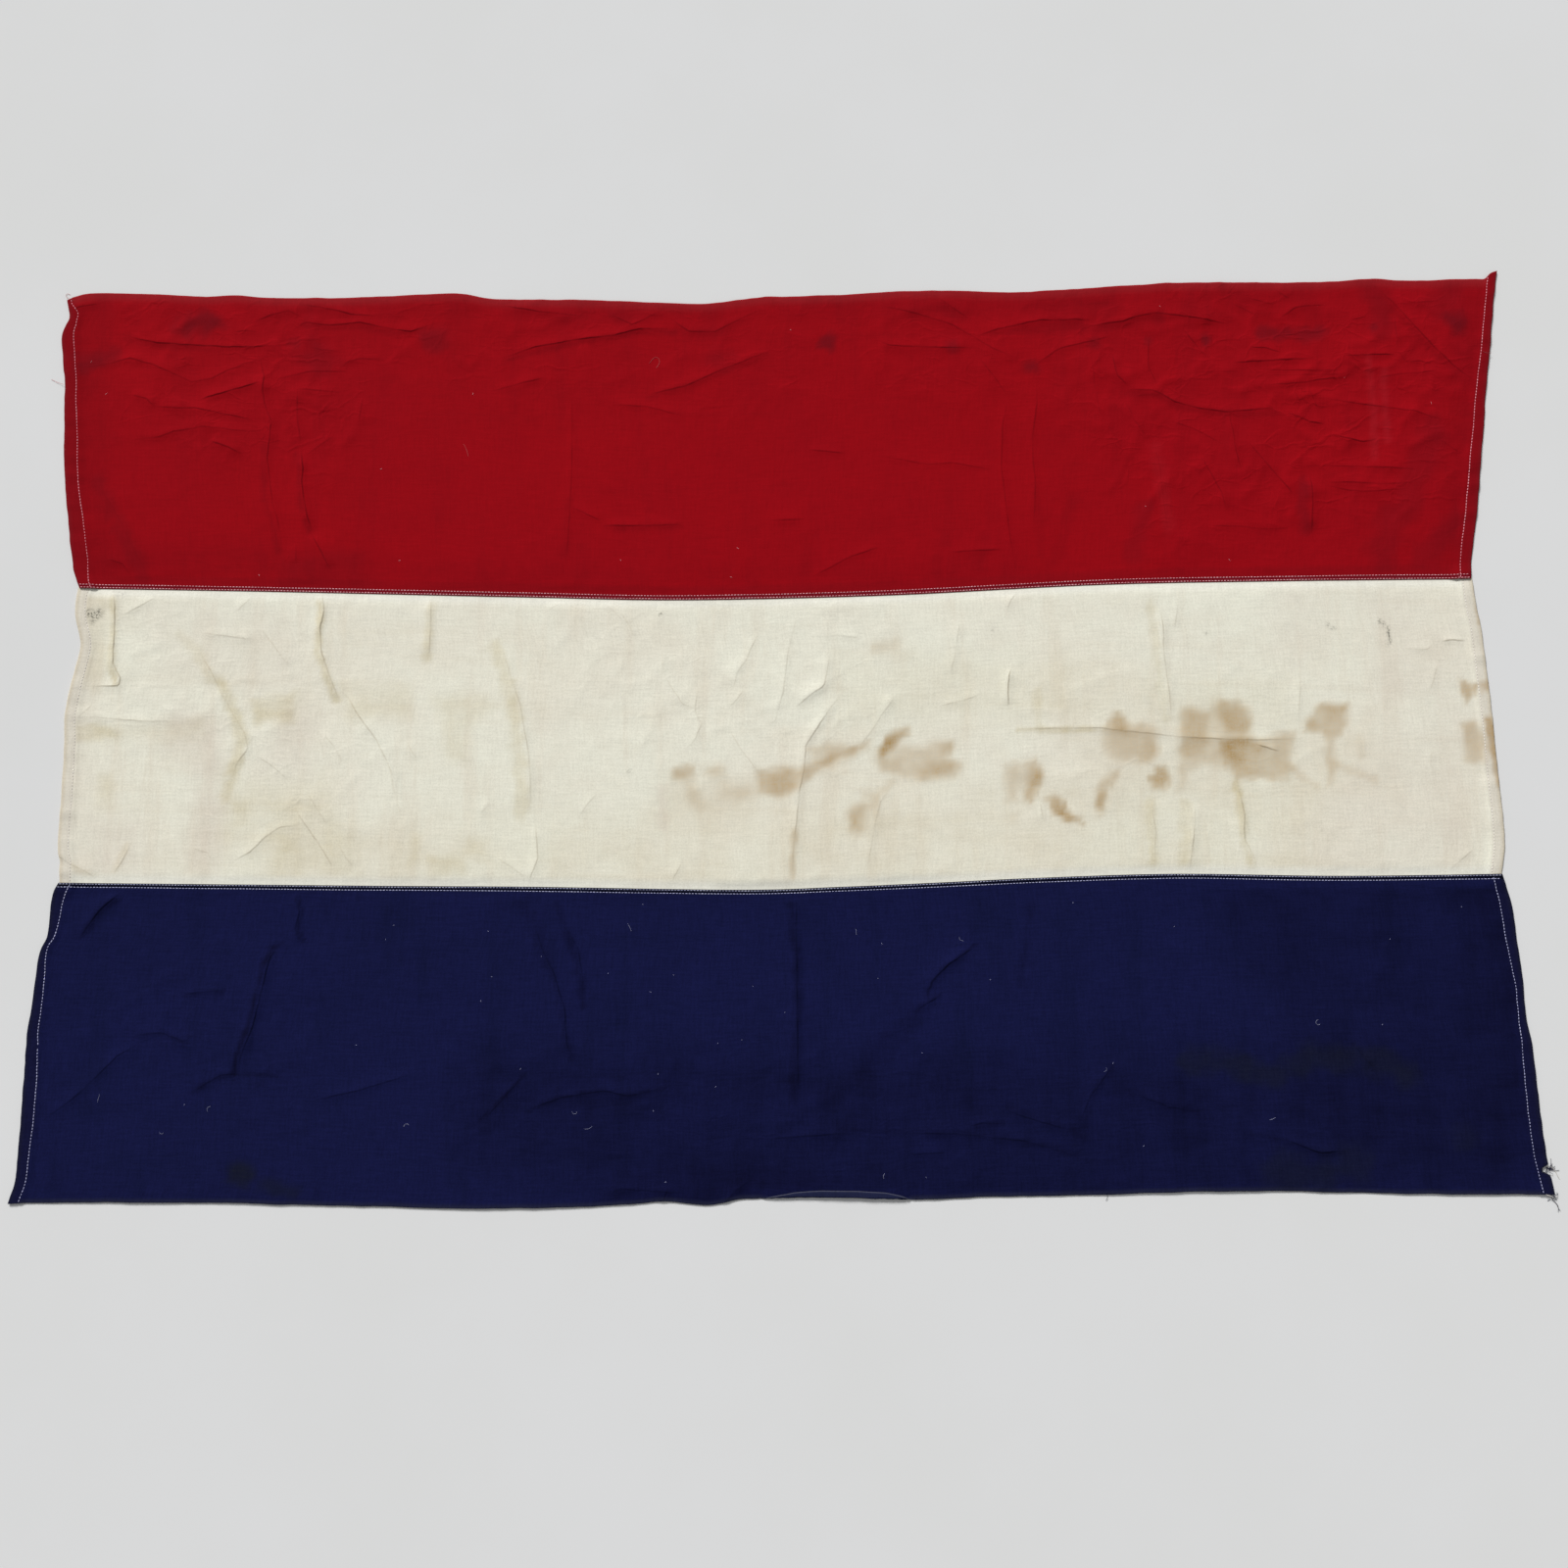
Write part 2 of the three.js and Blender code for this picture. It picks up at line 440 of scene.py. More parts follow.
@dataclass(frozen=True)
class CottonFinish:
    """Plain-weave cotton: its dye, its thread pattern, its dirt, its pressed-in creases, and shade painted
    along creases and folds.
    """

    name: str
    dye: Colour
    faded: Colour
    shade: Colour
    # Soil, and painted shade where a stripe's soil marks follow creases and folds.
    soil: Colour
    # Tinged patches; on the red stripe also a painted highlight beside a crease.
    tinge: Colour
    # Stains; on the red stripe also painted shade over soft folds.
    stain: Colour
    # Painted shade: the colour of the thin dark line along each crease's steep side.
    crease_shade: Colour
    hem: Colour
    rim: Colour
    lap: Colour
    seam_side: Colour
    edge_band: Colour
    slub: float
    grain: float
    rumple: float
    # How strongly the painted crease shade darkens that line.
    crease_shade_share: float
    underside: Colour = linear(36, 40, 68)
    selvedge: Colour = linear(90, 91, 102)
    crease_layers: int = 3
    roughness: float = 0.92
    shine: float = 0.04

    def thread_height(self, graph: Graph, flat: Socket) -> Value:
        """The relief of threads that pass over and under each other.

        Args:
            graph: The material's graph.
            flat: The flat cloth's own coordinates, in metres.

        Returns:
            The height in metres.
        """
        parts = graph.node("ShaderNodeSeparateXYZ", inputs={"Vector": flat})
        turn = math.pi / WEAVE_PITCH
        warp, weft = (Value(graph, parts.outputs[axis]).maths("MULTIPLY", turn).sine() for axis in (0, 1))
        over = (warp * weft).rise(-0.3, 0.3)
        return (abs(warp) * over + abs(weft) * (1 - over)) * (0.03 * MM)

    def crease_heights(self, graph: Graph, place: Socket) -> tuple[Value, Value]:
        """The sharp crests of the creases, which rise gently on one side and drop steeply on the other.

        Args:
            graph: The material's graph.
            place: The object's own coordinates, in metres.

        Returns:
            The crests' height in metres, and where shade is painted along their steep sides, from 0 to 1.
        """
        wobble = (graph.noise(place, 90.0, 2.0) - 0.5) * (1.5 * MM)
        lively = 0.45 + 0.75 * graph.noise(place, 42.0, 2.0).rise(0.32, 0.62)
        height, shade_mask = None, None
        for layer in range(self.crease_layers):
            distance = graph.attribute(f"crease_distance_{layer}") + wobble
            amount = graph.attribute(f"crease_amount_{layer}") * lively
            gentle = (1 - distance / GENTLE_REACH).at_least(0.0).at_most(1.0) ** 2.0
            steep = (1 + distance / STEEP_REACH).at_least(0.0).at_most(1.0)
            crest = gentle * steep * amount
            # Painted shade: a thin dark line on each crest's steep side, fainter on low crests.
            line = (1 - abs(distance + 0.6 * MM) / (1.2 * MM)).at_least(0.0)
            line = line * (amount / (0.4 * MM)).at_most(1.0)
            height = crest if height is None else height + crest
            shade_mask = line if shade_mask is None else shade_mask + line
        return height, shade_mask.at_most(1.0)

    def crumple_height(self, graph: Graph, place: Socket) -> Value:
        """Short crisp creases between flat facets, as in crushed cloth.

        Args:
            graph: The material's graph.
            place: The object's own coordinates, in metres.

        Returns:
            The height in metres where the cloth is fully crushed.
        """
        cloud = graph.node("ShaderNodeTexNoise", inputs={"Vector": place, "Scale": 26.0, "Detail": 3.0})
        centred = graph.node(
            "ShaderNodeVectorMath",
            {"operation": "SUBTRACT"},
            {0: cloud.outputs["Color"], 1: (0.5, 0.5, 0.5)},
        ).outputs[0]
        shift = graph.scaled(centred, (0.05, 0.035, 0.0))
        bent = graph.node("ShaderNodeVectorMath", {"operation": "ADD"}, {0: place, 1: shift}).outputs[0]
        total = None
        for number, (scale, width, height) in enumerate(
            (((15, 27, 1), 0.08, 0.34), ((31, 44, 1), 0.1, 0.26), ((60, 80, 1), 0.15, 0.13))
        ):
            cells = graph.node(
                "ShaderNodeTexVoronoi",
                {"feature": "DISTANCE_TO_EDGE", "voronoi_dimensions": "2D"},
                {"Vector": graph.scaled(bent, scale), "Scale": 1.0},
            )
            ridge = (1 - Value(graph, cells.outputs["Distance"]) / width).at_least(0.0)
            shown = graph.noise(place, 17.0 + 9.0 * number, 2.0).rise(0.44, 0.62)
            part = ridge * shown * (height * MM)
            total = part if total is None else total + part
        return total

    def coloured(
        self, graph: Graph, flat: Socket, place: Socket, crease_shade_line: Value
    ) -> tuple[Socket, Value]:
        """The cloth's colour with its wear and dirt, and shade painted along creases and folds.

        Args:
            graph: The material's graph.
            flat: The flat cloth's own coordinates, in metres.
            place: The object's own coordinates, in metres.
            crease_shade_line: Where shade is painted along creases, from 0 to 1.

        Returns:
            The colour, and how thick the threads are, around 0.
        """
        warp_slubs = graph.noise(graph.scaled(flat, (42, 430, 1)), 1.0, 3.0, 0.65) - 0.5
        weft_slubs = graph.noise(graph.scaled(flat, (430, 48, 1)), 1.0, 3.0, 0.65) - 0.5
        slubs = warp_slubs + weft_slubs
        clouds = graph.noise(place, 5.0, 5.0, 0.62)
        blotches = graph.noise(place, 19.0, 4.0, 0.6)
        upright = graph.noise(graph.scaled(place, (30, 3.6, 1)), 1.0, 4.0, 0.6)
        level = graph.noise(graph.scaled(place, (4, 38, 1)), 1.0, 4.0, 0.6)

        faded = clouds.rise(0.36, 0.66) * 0.7 + upright.rise(0.5, 0.7) * 0.3
        colour = graph.mix(faded, self.dye, self.faded)
        streaks = blotches.rise(0.45, 0.75) * 0.3 + upright.rise(0.5, 0.72) * 0.4
        streaks = streaks + level.rise(0.5, 0.75) * 0.3
        colour = graph.mix(streaks, colour, self.shade)
        # Soil, and painted shade where the stripe's soil marks follow creases and folds.
        soiled_and_shaded = graph.attribute("soiled_and_shaded") * (0.35 + 1.3 * blotches) * (1 + 1.4 * (upright + level - 1))
        colour = graph.mix(soiled_and_shaded.at_least(0.0), colour, self.soil)
        # Tinged patches; on the red stripe one is a painted highlight on a crease's lit side.
        tinged = graph.attribute("tinged") * (0.5 + level) * (1 + 1.2 * (upright - 0.5))
        colour = graph.mix(tinged.at_least(0.0), colour, self.tinge)
        grain = graph.noise(graph.scaled(flat, (560, 520, 1)), 1.0, 3.0, 0.65) - 0.5
        soaked = graph.attribute("stain") * (0.6 + 0.8 * blotches) * (1 + 0.5 * slubs + 0.8 * grain)
        specks = graph.noise(graph.scaled(flat, (420, 420, 1)), 1.0, 2.0, 0.7).rise(0.45, 0.62)
        colour = graph.mix(graph.attribute("soot") * (0.2 + 0.8 * specks), colour, linear(96, 94, 84))

        # Painted shade: darken the thin line along each crease's steep side.
        colour = graph.mix(crease_shade_line * self.crease_shade_share, colour, self.crease_shade)
        colour = graph.mix(graph.attribute("seam_side"), colour, self.seam_side)
        colour = graph.mix(graph.attribute("edge_band") * (0.6 + 0.8 * level), colour, self.edge_band)
        colour = graph.mix(graph.attribute("hem_layer"), colour, self.hem)
        colour = graph.mix(graph.attribute("hem_rim"), colour, self.rim)
        # Stains; on the red stripe the weak wide marks are painted shade over soft folds.
        colour = graph.mix(soaked.at_least(0.0), colour, self.stain)
        colour = graph.mix(graph.attribute("lap_layer"), colour, self.lap)
        colour = graph.mix(graph.attribute("turned_up"), colour, self.underside)
        colour = graph.mix(graph.attribute("selvedge"), colour, self.selvedge)
        light = 1 + self.slub * slubs + self.grain * grain
        tone = graph.node("ShaderNodeCombineXYZ", inputs={0: light, 1: light, 2: light}).outputs[0]
        threaded = graph.node("ShaderNodeVectorMath", {"operation": "MULTIPLY"}, {0: colour, 1: tone})
        return threaded.outputs[0], slubs

    def material(self) -> bpy.types.Material:
        """Build the material.

        Returns:
            The finished cotton.
        """
        graph = Graph(self.name)
        flat = graph.node("ShaderNodeUVMap", {"uv_map": "cloth"}).outputs[0]
        place = graph.node("ShaderNodeTexCoord").outputs["Object"]
        crests, crest_shade_line = self.crease_heights(graph, place)
        colour, slubs = self.coloured(graph, flat, place, crest_shade_line)
        fine = graph.noise(place, 130.0, 3.0, 0.6)
        crumpled = self.crumple_height(graph, place) * graph.attribute("crumple")
        relief = crests + crumpled + fine * (self.rumple * MM)
        relief = relief + slubs * (0.06 * MM) + self.thread_height(graph, flat)
        worn = graph.noise(graph.scaled(flat, (150, 170, 1)), 1.0, 4.0, 0.7)
        roughness = (self.roughness - 0.05 * worn).at_most(1.0)
        return graph.finish(colour, {"Roughness": roughness, "Specular IOR Level": self.shine}, relief)


@dataclass(frozen=True)
class ThreadFinish:
    """Twisted sewing thread or a loose fibre."""

    name: str
    pale: Colour
    dull: Colour

    def material(self) -> bpy.types.Material:
        """Build the material.

        Returns:
            The finished thread.
        """
        graph = Graph(self.name)
        place = graph.node("ShaderNodeTexCoord").outputs["Object"]
        soil = graph.noise(place, 38.0, 3.0, 0.6)
        twist = graph.noise(graph.scaled(place, (1400, 1400, 2600)), 1.0, 1.0)
        colour = graph.mix((soil.rise(0.35, 0.65) * 0.7 + 0.3 * twist).at_most(1.0), self.pale, self.dull)
        constants = {"Roughness": 0.85 - 0.1 * twist, "Specular IOR Level": 0.1}
        return graph.finish(colour, constants, twist * (0.06 * MM))


@dataclass(frozen=True)
class FloorFinish:
    """The plain pale surface under the flag."""

    name: str = "pale_floor"
    tone: Colour = linear(229, 229, 229)
    other: Colour = linear(227, 227, 226)

    def material(self) -> bpy.types.Material:
        """Build the material.

        Returns:
            The finished floor.
        """
        graph = Graph(self.name)
        place = graph.node("ShaderNodeTexCoord").outputs["Object"]
        clouds = graph.noise(place, 3.0, 4.0, 0.6)
        colour = graph.mix(clouds.rise(0.3, 0.7), self.tone, self.other)
        return graph.finish(colour, {"Roughness": 0.95, "Specular IOR Level": 0.05})


RED_COTTON = CottonFinish(
    name="red_cotton",
    dye=linear(153, 9, 20),
    faded=linear(149, 9, 21),
    shade=linear(142, 9, 20),
    soil=linear(114, 8, 18),
    tinge=linear(168, 30, 40),
    stain=linear(96, 15, 25),
    # The painted crease shade.
    crease_shade=linear(92, 6, 15),
    hem=linear(131, 12, 22),
    rim=linear(124, 20, 28),
    lap=linear(110, 14, 28),
    seam_side=linear(130, 11, 21),
    edge_band=linear(148, 34, 40),
    slub=0.24,
    grain=0.13,
    rumple=0.13,
    crease_shade_share=0.55,
)
WHITE_COTTON = CottonFinish(
    name="white_cotton",
    dye=linear(239, 237, 220),
    faded=linear(236, 230, 213),
    shade=linear(227, 219, 199),
    soil=linear(203, 189, 150),
    tinge=linear(212, 197, 183),
    stain=linear(171, 135, 76),
    # The painted crease shade.
    crease_shade=linear(180, 164, 134),
    hem=linear(224, 217, 202),
    rim=linear(212, 201, 180),
    lap=linear(226, 216, 196),
    seam_side=linear(238, 237, 226),
    edge_band=linear(226, 216, 196),
    slub=0.22,
    grain=0.38,
    rumple=0.06,
    crease_shade_share=0.5,
)
BLUE_COTTON = CottonFinish(
    name="blue_cotton",
    dye=linear(21, 24, 65),
    faded=linear(20, 23, 62),
    shade=linear(16, 20, 54),
    soil=linear(12, 13, 42),
    tinge=linear(30, 33, 70),
    stain=linear(22, 25, 40),
    # The painted crease shade.
    crease_shade=linear(7, 9, 30),
    hem=linear(20, 21, 52),
    rim=linear(24, 25, 46),
    lap=linear(5, 6, 18),
    seam_side=linear(20, 23, 62),
    edge_band=linear(36, 38, 58),
    slub=0.6,
    grain=0.66,
    rumple=0.12,
    crease_shade_share=0.5,
)
WHITE_THREAD = ThreadFinish("white_thread", pale=linear(240, 236, 230), dull=linear(222, 214, 204))
PINK_THREAD = ThreadFinish("reddened_thread", pale=linear(254, 196, 204), dull=linear(236, 150, 160))
ROSE_THREAD = ThreadFinish("rose_tinged_thread", pale=linear(246, 172, 184), dull=linear(222, 132, 146))
BLUED_THREAD = ThreadFinish("blued_thread", pale=linear(208, 210, 244), dull=linear(176, 178, 218))
GREY_THREAD = ThreadFinish("greyed_thread", pale=linear(196, 198, 222), dull=linear(140, 144, 178))
NAVY_FIBRE = ThreadFinish("navy_fibre", pale=linear(40, 42, 74), dull=linear(18, 20, 40))
RED_FIBRE = ThreadFinish("red_fibre", pale=linear(206, 110, 112), dull=linear(160, 60, 66))


# ------------------------------------------------------------------------------
# What is pressed and soaked into the cloth, and shade painted onto it


@dataclass(frozen=True)
class Crease:
    """A crease pressed into the cloth: a soft ridge with a sharp crest."""

    line: Line
    height: float
    reach: float
    sharp: float

    def envelope(self, x: np.ndarray, y: np.ndarray) -> tuple[np.ndarray, np.ndarray]:
        """Measure places against the crease.

        Args:
            x: Places along X, in millimetres.
            y: Places along Y.

        Returns:
            The distance from the crease, positive on its gentle side, and how strong the crease is there,
            from 0 at its ends to 1.
        """
        distance, along = self.line.nearest(x, y)
        (x0, y0), (x1, y1) = self.line.points[0], self.line.points[-1]
        gentle = (y0 - y1) * GENTLE_SIDE[0] + (x1 - x0) * GENTLE_SIDE[1] >= 0
        uneven = 0.78 + 0.3 * grid_noise(x, y, 17, 5)
        strength = np.clip(np.sin(np.pi * np.clip(along, 0, 1)) * 1.8, 0, 1) * uneven
        return distance if gentle else -distance, strength

    def ridge(self, x: np.ndarray, y: np.ndarray) -> np.ndarray:
        """The soft ridge's height over places, in millimetres."""
        distance, strength = self.envelope(x, y)
        reach = np.where(distance > 0, 1.5, 0.8) * self.reach
        return self.height * strength / (1 + (distance / reach) ** 2) ** 1.5


def creases(height: float, reach: float, sharp: float, *lines: Points) -> list[Crease]:
    """Make creases of one height, slope width and height of their sharp crest, along the given lines."""
    return [Crease(Line(points), height, reach, sharp) for points in lines]


@dataclass(frozen=True)
class Soak:
    """A mark along a line, with a ragged soft border: a soaked or rubbed-in mark, and in some lists painted
    shade along a crease or fold.
    """

    line: Line
    radius: float
    strength: float

    def share(self, x: np.ndarray, y: np.ndarray) -> np.ndarray:
        """How strongly places are marked, from 0 to 1."""
        distance = np.abs(self.line.nearest(x, y)[0])
        ragged = self.radius * 0.7 * layered_noise(x, y, max(9.0, self.radius), 31, 3)
        return self.strength * smooth(self.radius * 1.4, self.radius * 0.2, distance + ragged)


@dataclass(frozen=True)
class Patch:
    """A mark that fills an outline and fades over a ragged, soft border: a soaked mark, and in some lists
    painted shade over soft undulations.
    """

    outline: Outline
    strength: float
    softness: float

    def share(self, x: np.ndarray, y: np.ndarray) -> np.ndarray:
        """How strongly places are marked, from 0 to 1."""
        bent_x = x + 3.2 * layered_noise(x, y, 34, 71, 2) + 2.2 * grid_noise(x * 2.2, y, 9, 73)
        bent_y = y + 3.2 * layered_noise(x, y, 30, 79, 2) + 2.2 * grid_noise(x, y * 2.2, 9, 83)
        distance = self.outline.outside(bent_x, bent_y)
        uneven = 0.92 + 0.3 * layered_noise(x, y, 20, 89, 3)
        return self.strength * uneven * smooth(self.softness * 0.85, -self.softness * 0.85, distance)


Mark = Soak | Patch


def soaks(strength: float, radius: float, *lines: Points) -> list[Mark]:
    """Make marks of one strength and radius, in millimetres, along the given lines."""
    return [Soak(Line(points), radius, strength) for points in lines]


def patches(strength: float, softness: float, *outlines: Points) -> list[Mark]:
    """Make marks of one strength that fill the given outlines, with soft borders in millimetres."""
    return [Patch(Outline(points), strength, softness) for points in outlines]


def marked(marks: list[Mark], x: np.ndarray, y: np.ndarray) -> np.ndarray:
    """Lay marks over each other.

    Args:
        marks: The marks.
        x: Places along X, in millimetres.
        y: Places along Y.

    Returns:
        How strongly places are marked in all, from 0 to 1.
    """
    clean = np.ones(np.shape(x))
    for mark in marks:
        clean = clean * (1 - mark.share(x, y))
    return 1 - clean


@dataclass(frozen=True)
class Hem:
    """A turned end: where its row of stitches runs, and where the end is nicked or steps inwards.

    A row's stations are shares of the way up the stripe, each with the row's distance from the end in
    millimetres. A nick is such a share, its depth and its half-width.
    """

    row_stations: Points = ((0.0, 10.6), (1.0, 10.6))
    nicks: tuple[tuple[float, float, float], ...] = ()
    beyond_row: float = 1.6

    def row(self, share: np.ndarray) -> np.ndarray:
        """How far the row of stitches is from the end."""
        return np.interp(share, *zip(*self.row_stations))

    def width(self, share: np.ndarray) -> np.ndarray:
        """How wide the turned cloth is."""
        return self.row(share) + self.beyond_row

    def nick(self, share: np.ndarray, to_end: np.ndarray, width: float) -> np.ndarray:
        """How far the end is pushed in.

        Args:
            share: Shares of the way up the stripe.
            to_end: Distances from the end.
            width: The stripe's width.

        Returns:
            Shifts towards the stripe's middle, in millimetres.
        """
        pushed = np.zeros(np.shape(share))
        for middle, depth, half in self.nicks:
            pushed = pushed + depth * np.exp(-np.abs((share - middle) * width / half) ** 3)
        return pushed * smooth(11, 1, to_end)


class Side(Enum):
    """Which long edges of a stripe are sewn to a neighbour."""

    LOWER = "lower"
    UPPER = "upper"
    BOTH = "both"


# ------------------------------------------------------------------------------
# The stripes


@dataclass
class Stripe:
    """One sewn stripe of cloth: its outline, how it is joined, its creases and its marks.

    Lengths are in millimetres. Across the stripe, places are measured from its lower edge. The four lists of
    lines are the grid's close ones beside hems, laps, lapped edges and free edges. The tucked shares are the
    grid's lines in the cloth that is turned under an end, as shares of the hem's width.
    """

    name: str
    lower: Edge
    upper: Edge
    left: Edge
    right: Edge
    sewn: Side
    laps_over: bool
    flat: tuple[float, float]
    finish: CottonFinish
    creases: list[Crease]
    stains: list[Mark]
    # Soil marks, some of which are painted shade along creases and folds.
    soil: list[Mark]
    tinged: list[Mark]
    soot: list[Mark]
    crushed: list[Mark]
    seed: int
    left_hem: Hem = Hem()
    right_hem: Hem = Hem()
    turned_edge: Points = ((0.0, 0.0), (1.0, 0.0))
    hem_lines: tuple[float, ...] = (0.0, 0.5, 1.3, 3.0, 5.0, 7.0, 9.0, 11.0, 13.0, 15.0, 17.5)
    lap_lines: tuple[float, ...] = (0.0, 0.35, 0.9, 1.4, 2.2, 3.0, 3.8, 4.7, 5.6, 7.4, 10.0, 13.0)
    lapped_lines: tuple[float, ...] = (0.0, 3.0, 6.0, 8.5, 11.0, 14.0)
    free_lines: tuple[float, ...] = (0.0, 1.2, 3.5, 6.5)
    tucked_shares: tuple[float, ...] = (0.92, 0.62, 0.33, 0.1)
    length: float = 1480.0
    width: float = 312.0
    cell: float = 3.5
    swell: float = 1.1
    raggedness: float = 0.7
    edge_fade: float = 6.0
    top_points: np.ndarray = field(init=False, repr=False)

    def plan(self, along: np.ndarray, across: np.ndarray) -> np.ndarray:
        """Where places of the flat strip lie on the surface, seen from above.

        Args:
            along: Distances from the left end.
            across: Distances from the lower edge.

        Returns:
            X and Y in millimetres.
        """
        u, v = along / self.length, across / self.width
        row, column = u[..., None], v[..., None]
        low, high, left, right = self.lower.at(u), self.upper.at(u), self.left.at(v), self.right.at(v)
        corners = [edge.at(np.array(end)) for edge in (self.lower, self.upper) for end in (0.0, 1.0)]
        flat = (1 - column) * ((1 - row) * corners[0] + row * corners[1])
        flat = flat + column * ((1 - row) * corners[2] + row * corners[3])
        spot = (1 - column) * low + column * high + (1 - row) * left + row * right - flat
        frayed = smooth(30, 0, self.to_end(along))
        other_end = 3000.0 * (u > 0.5)
        shift_x = self.raggedness * layered_noise(across + other_end, across * 0, 16, self.seed, 3) * frayed
        shift_x = shift_x + self.left_hem.nick(v, along, self.width)
        shift_x = shift_x - self.right_hem.nick(v, self.length - along, self.width)
        free = smooth(30, 0, self.to_free_edge(across))
        shift_y = self.raggedness * layered_noise(along, along * 0, 22, self.seed + 7, 3) * free
        turned = self.turned_width(spot[..., 0])
        shift_y = shift_y + (np.abs(across - turned) - across) * smooth(90, 12, across)
        return spot + np.stack([shift_x, shift_y], axis=-1)

    def turned_width(self, x: np.ndarray) -> np.ndarray:
        """How much of the lower edge is folded back up over the cloth, at places along X."""
        return np.interp(x, *zip(*self.turned_edge))

    def to_seam(self, across: np.ndarray) -> np.ndarray:
        """How far places are from the nearest sewn long edge."""
        to_lower, to_upper = across, self.width - across
        if self.sewn is Side.BOTH:
            return np.minimum(to_lower, to_upper)
        return to_lower if self.sewn is Side.LOWER else to_upper

    def to_free_edge(self, across: np.ndarray) -> np.ndarray:
        """How far places are from the free long edge, which is nowhere near on a stripe sewn along both."""
        if self.sewn is Side.BOTH:
            return np.full(np.shape(across), self.width)
        return self.width - across if self.sewn is Side.LOWER else across

    def to_end(self, along: np.ndarray) -> np.ndarray:
        """How far places are from the nearest hemmed end."""
        return np.minimum(along, self.length - along)

    def hem_row(self, along: np.ndarray, across: np.ndarray) -> np.ndarray:
        """How far the nearest hem's row of stitches is from its end."""
        share = across / self.width
        return np.where(along < self.length / 2, self.left_hem.row(share), self.right_hem.row(share))

    def relief(self, spot: np.ndarray, along: np.ndarray, across: np.ndarray) -> np.ndarray:
        """How far the cloth is lifted off what it lies on.

        Args:
            spot: Places on the surface, as X and Y.
            along: Their distances from the left end of the flat strip.
            across: Their distances from its lower edge.

        Returns:
            Heights in millimetres, none below 0.
        """
        x, y = spot[..., 0], spot[..., 1]
        to_end, to_seam = self.to_end(along), self.to_seam(across)
        height = self.swell * (0.6 + 0.9 * layered_noise(x, y, 120, self.seed, 2))
        for crease in self.creases:
            height = height + crease.ridge(x, y)
        bent = 14 * layered_noise(x, y, 60, self.seed + 3, 2)
        coarse = (1 - np.abs(layered_noise(x + bent, y - bent, 46, self.seed + 11, 2))) ** 5
        fine = (1 - np.abs(layered_noise(x - bent, y + bent, 21, self.seed + 17, 2))) ** 5
        crushed = 0.12 + marked(self.crushed, x, y)
        height = height + crushed * (1.5 * coarse + 0.6 * fine)
        pucker = smooth(34, 4, to_seam) * grid_noise(x, y, 12.5, self.seed + 23)
        gather = smooth(36, 6, to_end) * grid_noise(x * 0.25, y, 10.0, self.seed + 29)
        height = height + 0.35 * pucker + 0.45 * gather
        turned = self.turned_width(x)
        height = height + 0.08 * turned * smooth(26, 4, across)
        height = np.log1p(np.exp(np.clip(height * 3, -30, 30))) / 3
        height = height * smooth(LAP + 0.5, LAP + 11, to_seam)
        return height + 1.5 * smooth(turned + 0.9, turned - 1.2, across) * smooth(0.2, 2.0, turned)

    def base(self, along: np.ndarray, across: np.ndarray) -> np.ndarray:
        """How high the cloth's middle lies where it is pressed flat, over hems and laps.

        Args:
            along: Distances from the left end.
            across: Distances from the lower edge.

        Returns:
            Heights in millimetres.
        """
        to_end, to_seam, row = self.to_end(along), self.to_seam(across), self.hem_row(along, across)
        round_fold = np.sqrt(np.clip(to_end / 1.2, 0, 1))
        quilted = 1 - 0.4 * np.exp(-((to_end - row) / HEM_DENT) ** 2)
        hem = HEM_HEIGHT * (0.5 + 0.5 * round_fold) * quilted * smooth(5.5, 0, to_end - row - 1)
        height = CLOTH / 2 + hem
        if self.laps_over:
            lip = np.sqrt(np.clip(to_seam / 0.9, 0, 1))
            rows = sum(np.exp(-((to_seam - inset) / SEAM_DENT) ** 2) for inset in SEAM_ROWS)
            over_hem = HEM_HEIGHT * smooth(24, 17, to_end)
            lap = CLOTH + 0.1 + over_hem + (LAP_HEIGHT - CLOTH) * lip * (1 - 0.3 * rows)
            height = height + lap * smooth(LAP + 12, LAP, to_seam)
        return height

    def surface(self, along: np.ndarray, across: np.ndarray) -> np.ndarray:
        """The cloth's middle surface, lifted by its creases.

        Args:
            along: Distances from the left end.
            across: Distances from the lower edge.

        Returns:
            X, Y and Z in millimetres.
        """
        spot = self.plan(along, across)
        height = self.base(along, across) + self.relief(spot, along, across)
        return np.concatenate([spot, height[..., None]], axis=-1)

    def top(self, x: float, y: float) -> float:
        """How high the cloth's upper face is at a place, or 0 where there is no cloth, in millimetres."""
        gap = np.hypot(self.top_points[:, 0] - x, self.top_points[:, 1] - y)
        nearest = int(np.argmin(gap))
        return float(self.top_points[nearest, 2]) + CLOTH / 2 if gap[nearest] < 3 else 0.0

    def stations(
        self, total: float, near_start: tuple[float, ...], near_end: tuple[float, ...]
    ) -> np.ndarray:
        """Grid lines across one direction: close together near its edges, evenly spaced between.

        Args:
            total: The direction's length.
            near_start: Distances of the close lines from the first edge.
            near_end: Distances of the close lines from the last edge.

        Returns:
            Distances from the first edge.
        """
        first, last = near_start[-1], total - near_end[-1]
        even = np.linspace(first, last, int(round((last - first) / self.cell)) + 1)
        ending = [total - distance for distance in reversed(near_end[:-1])]
        return np.concatenate([near_start[:-1], even, ending])

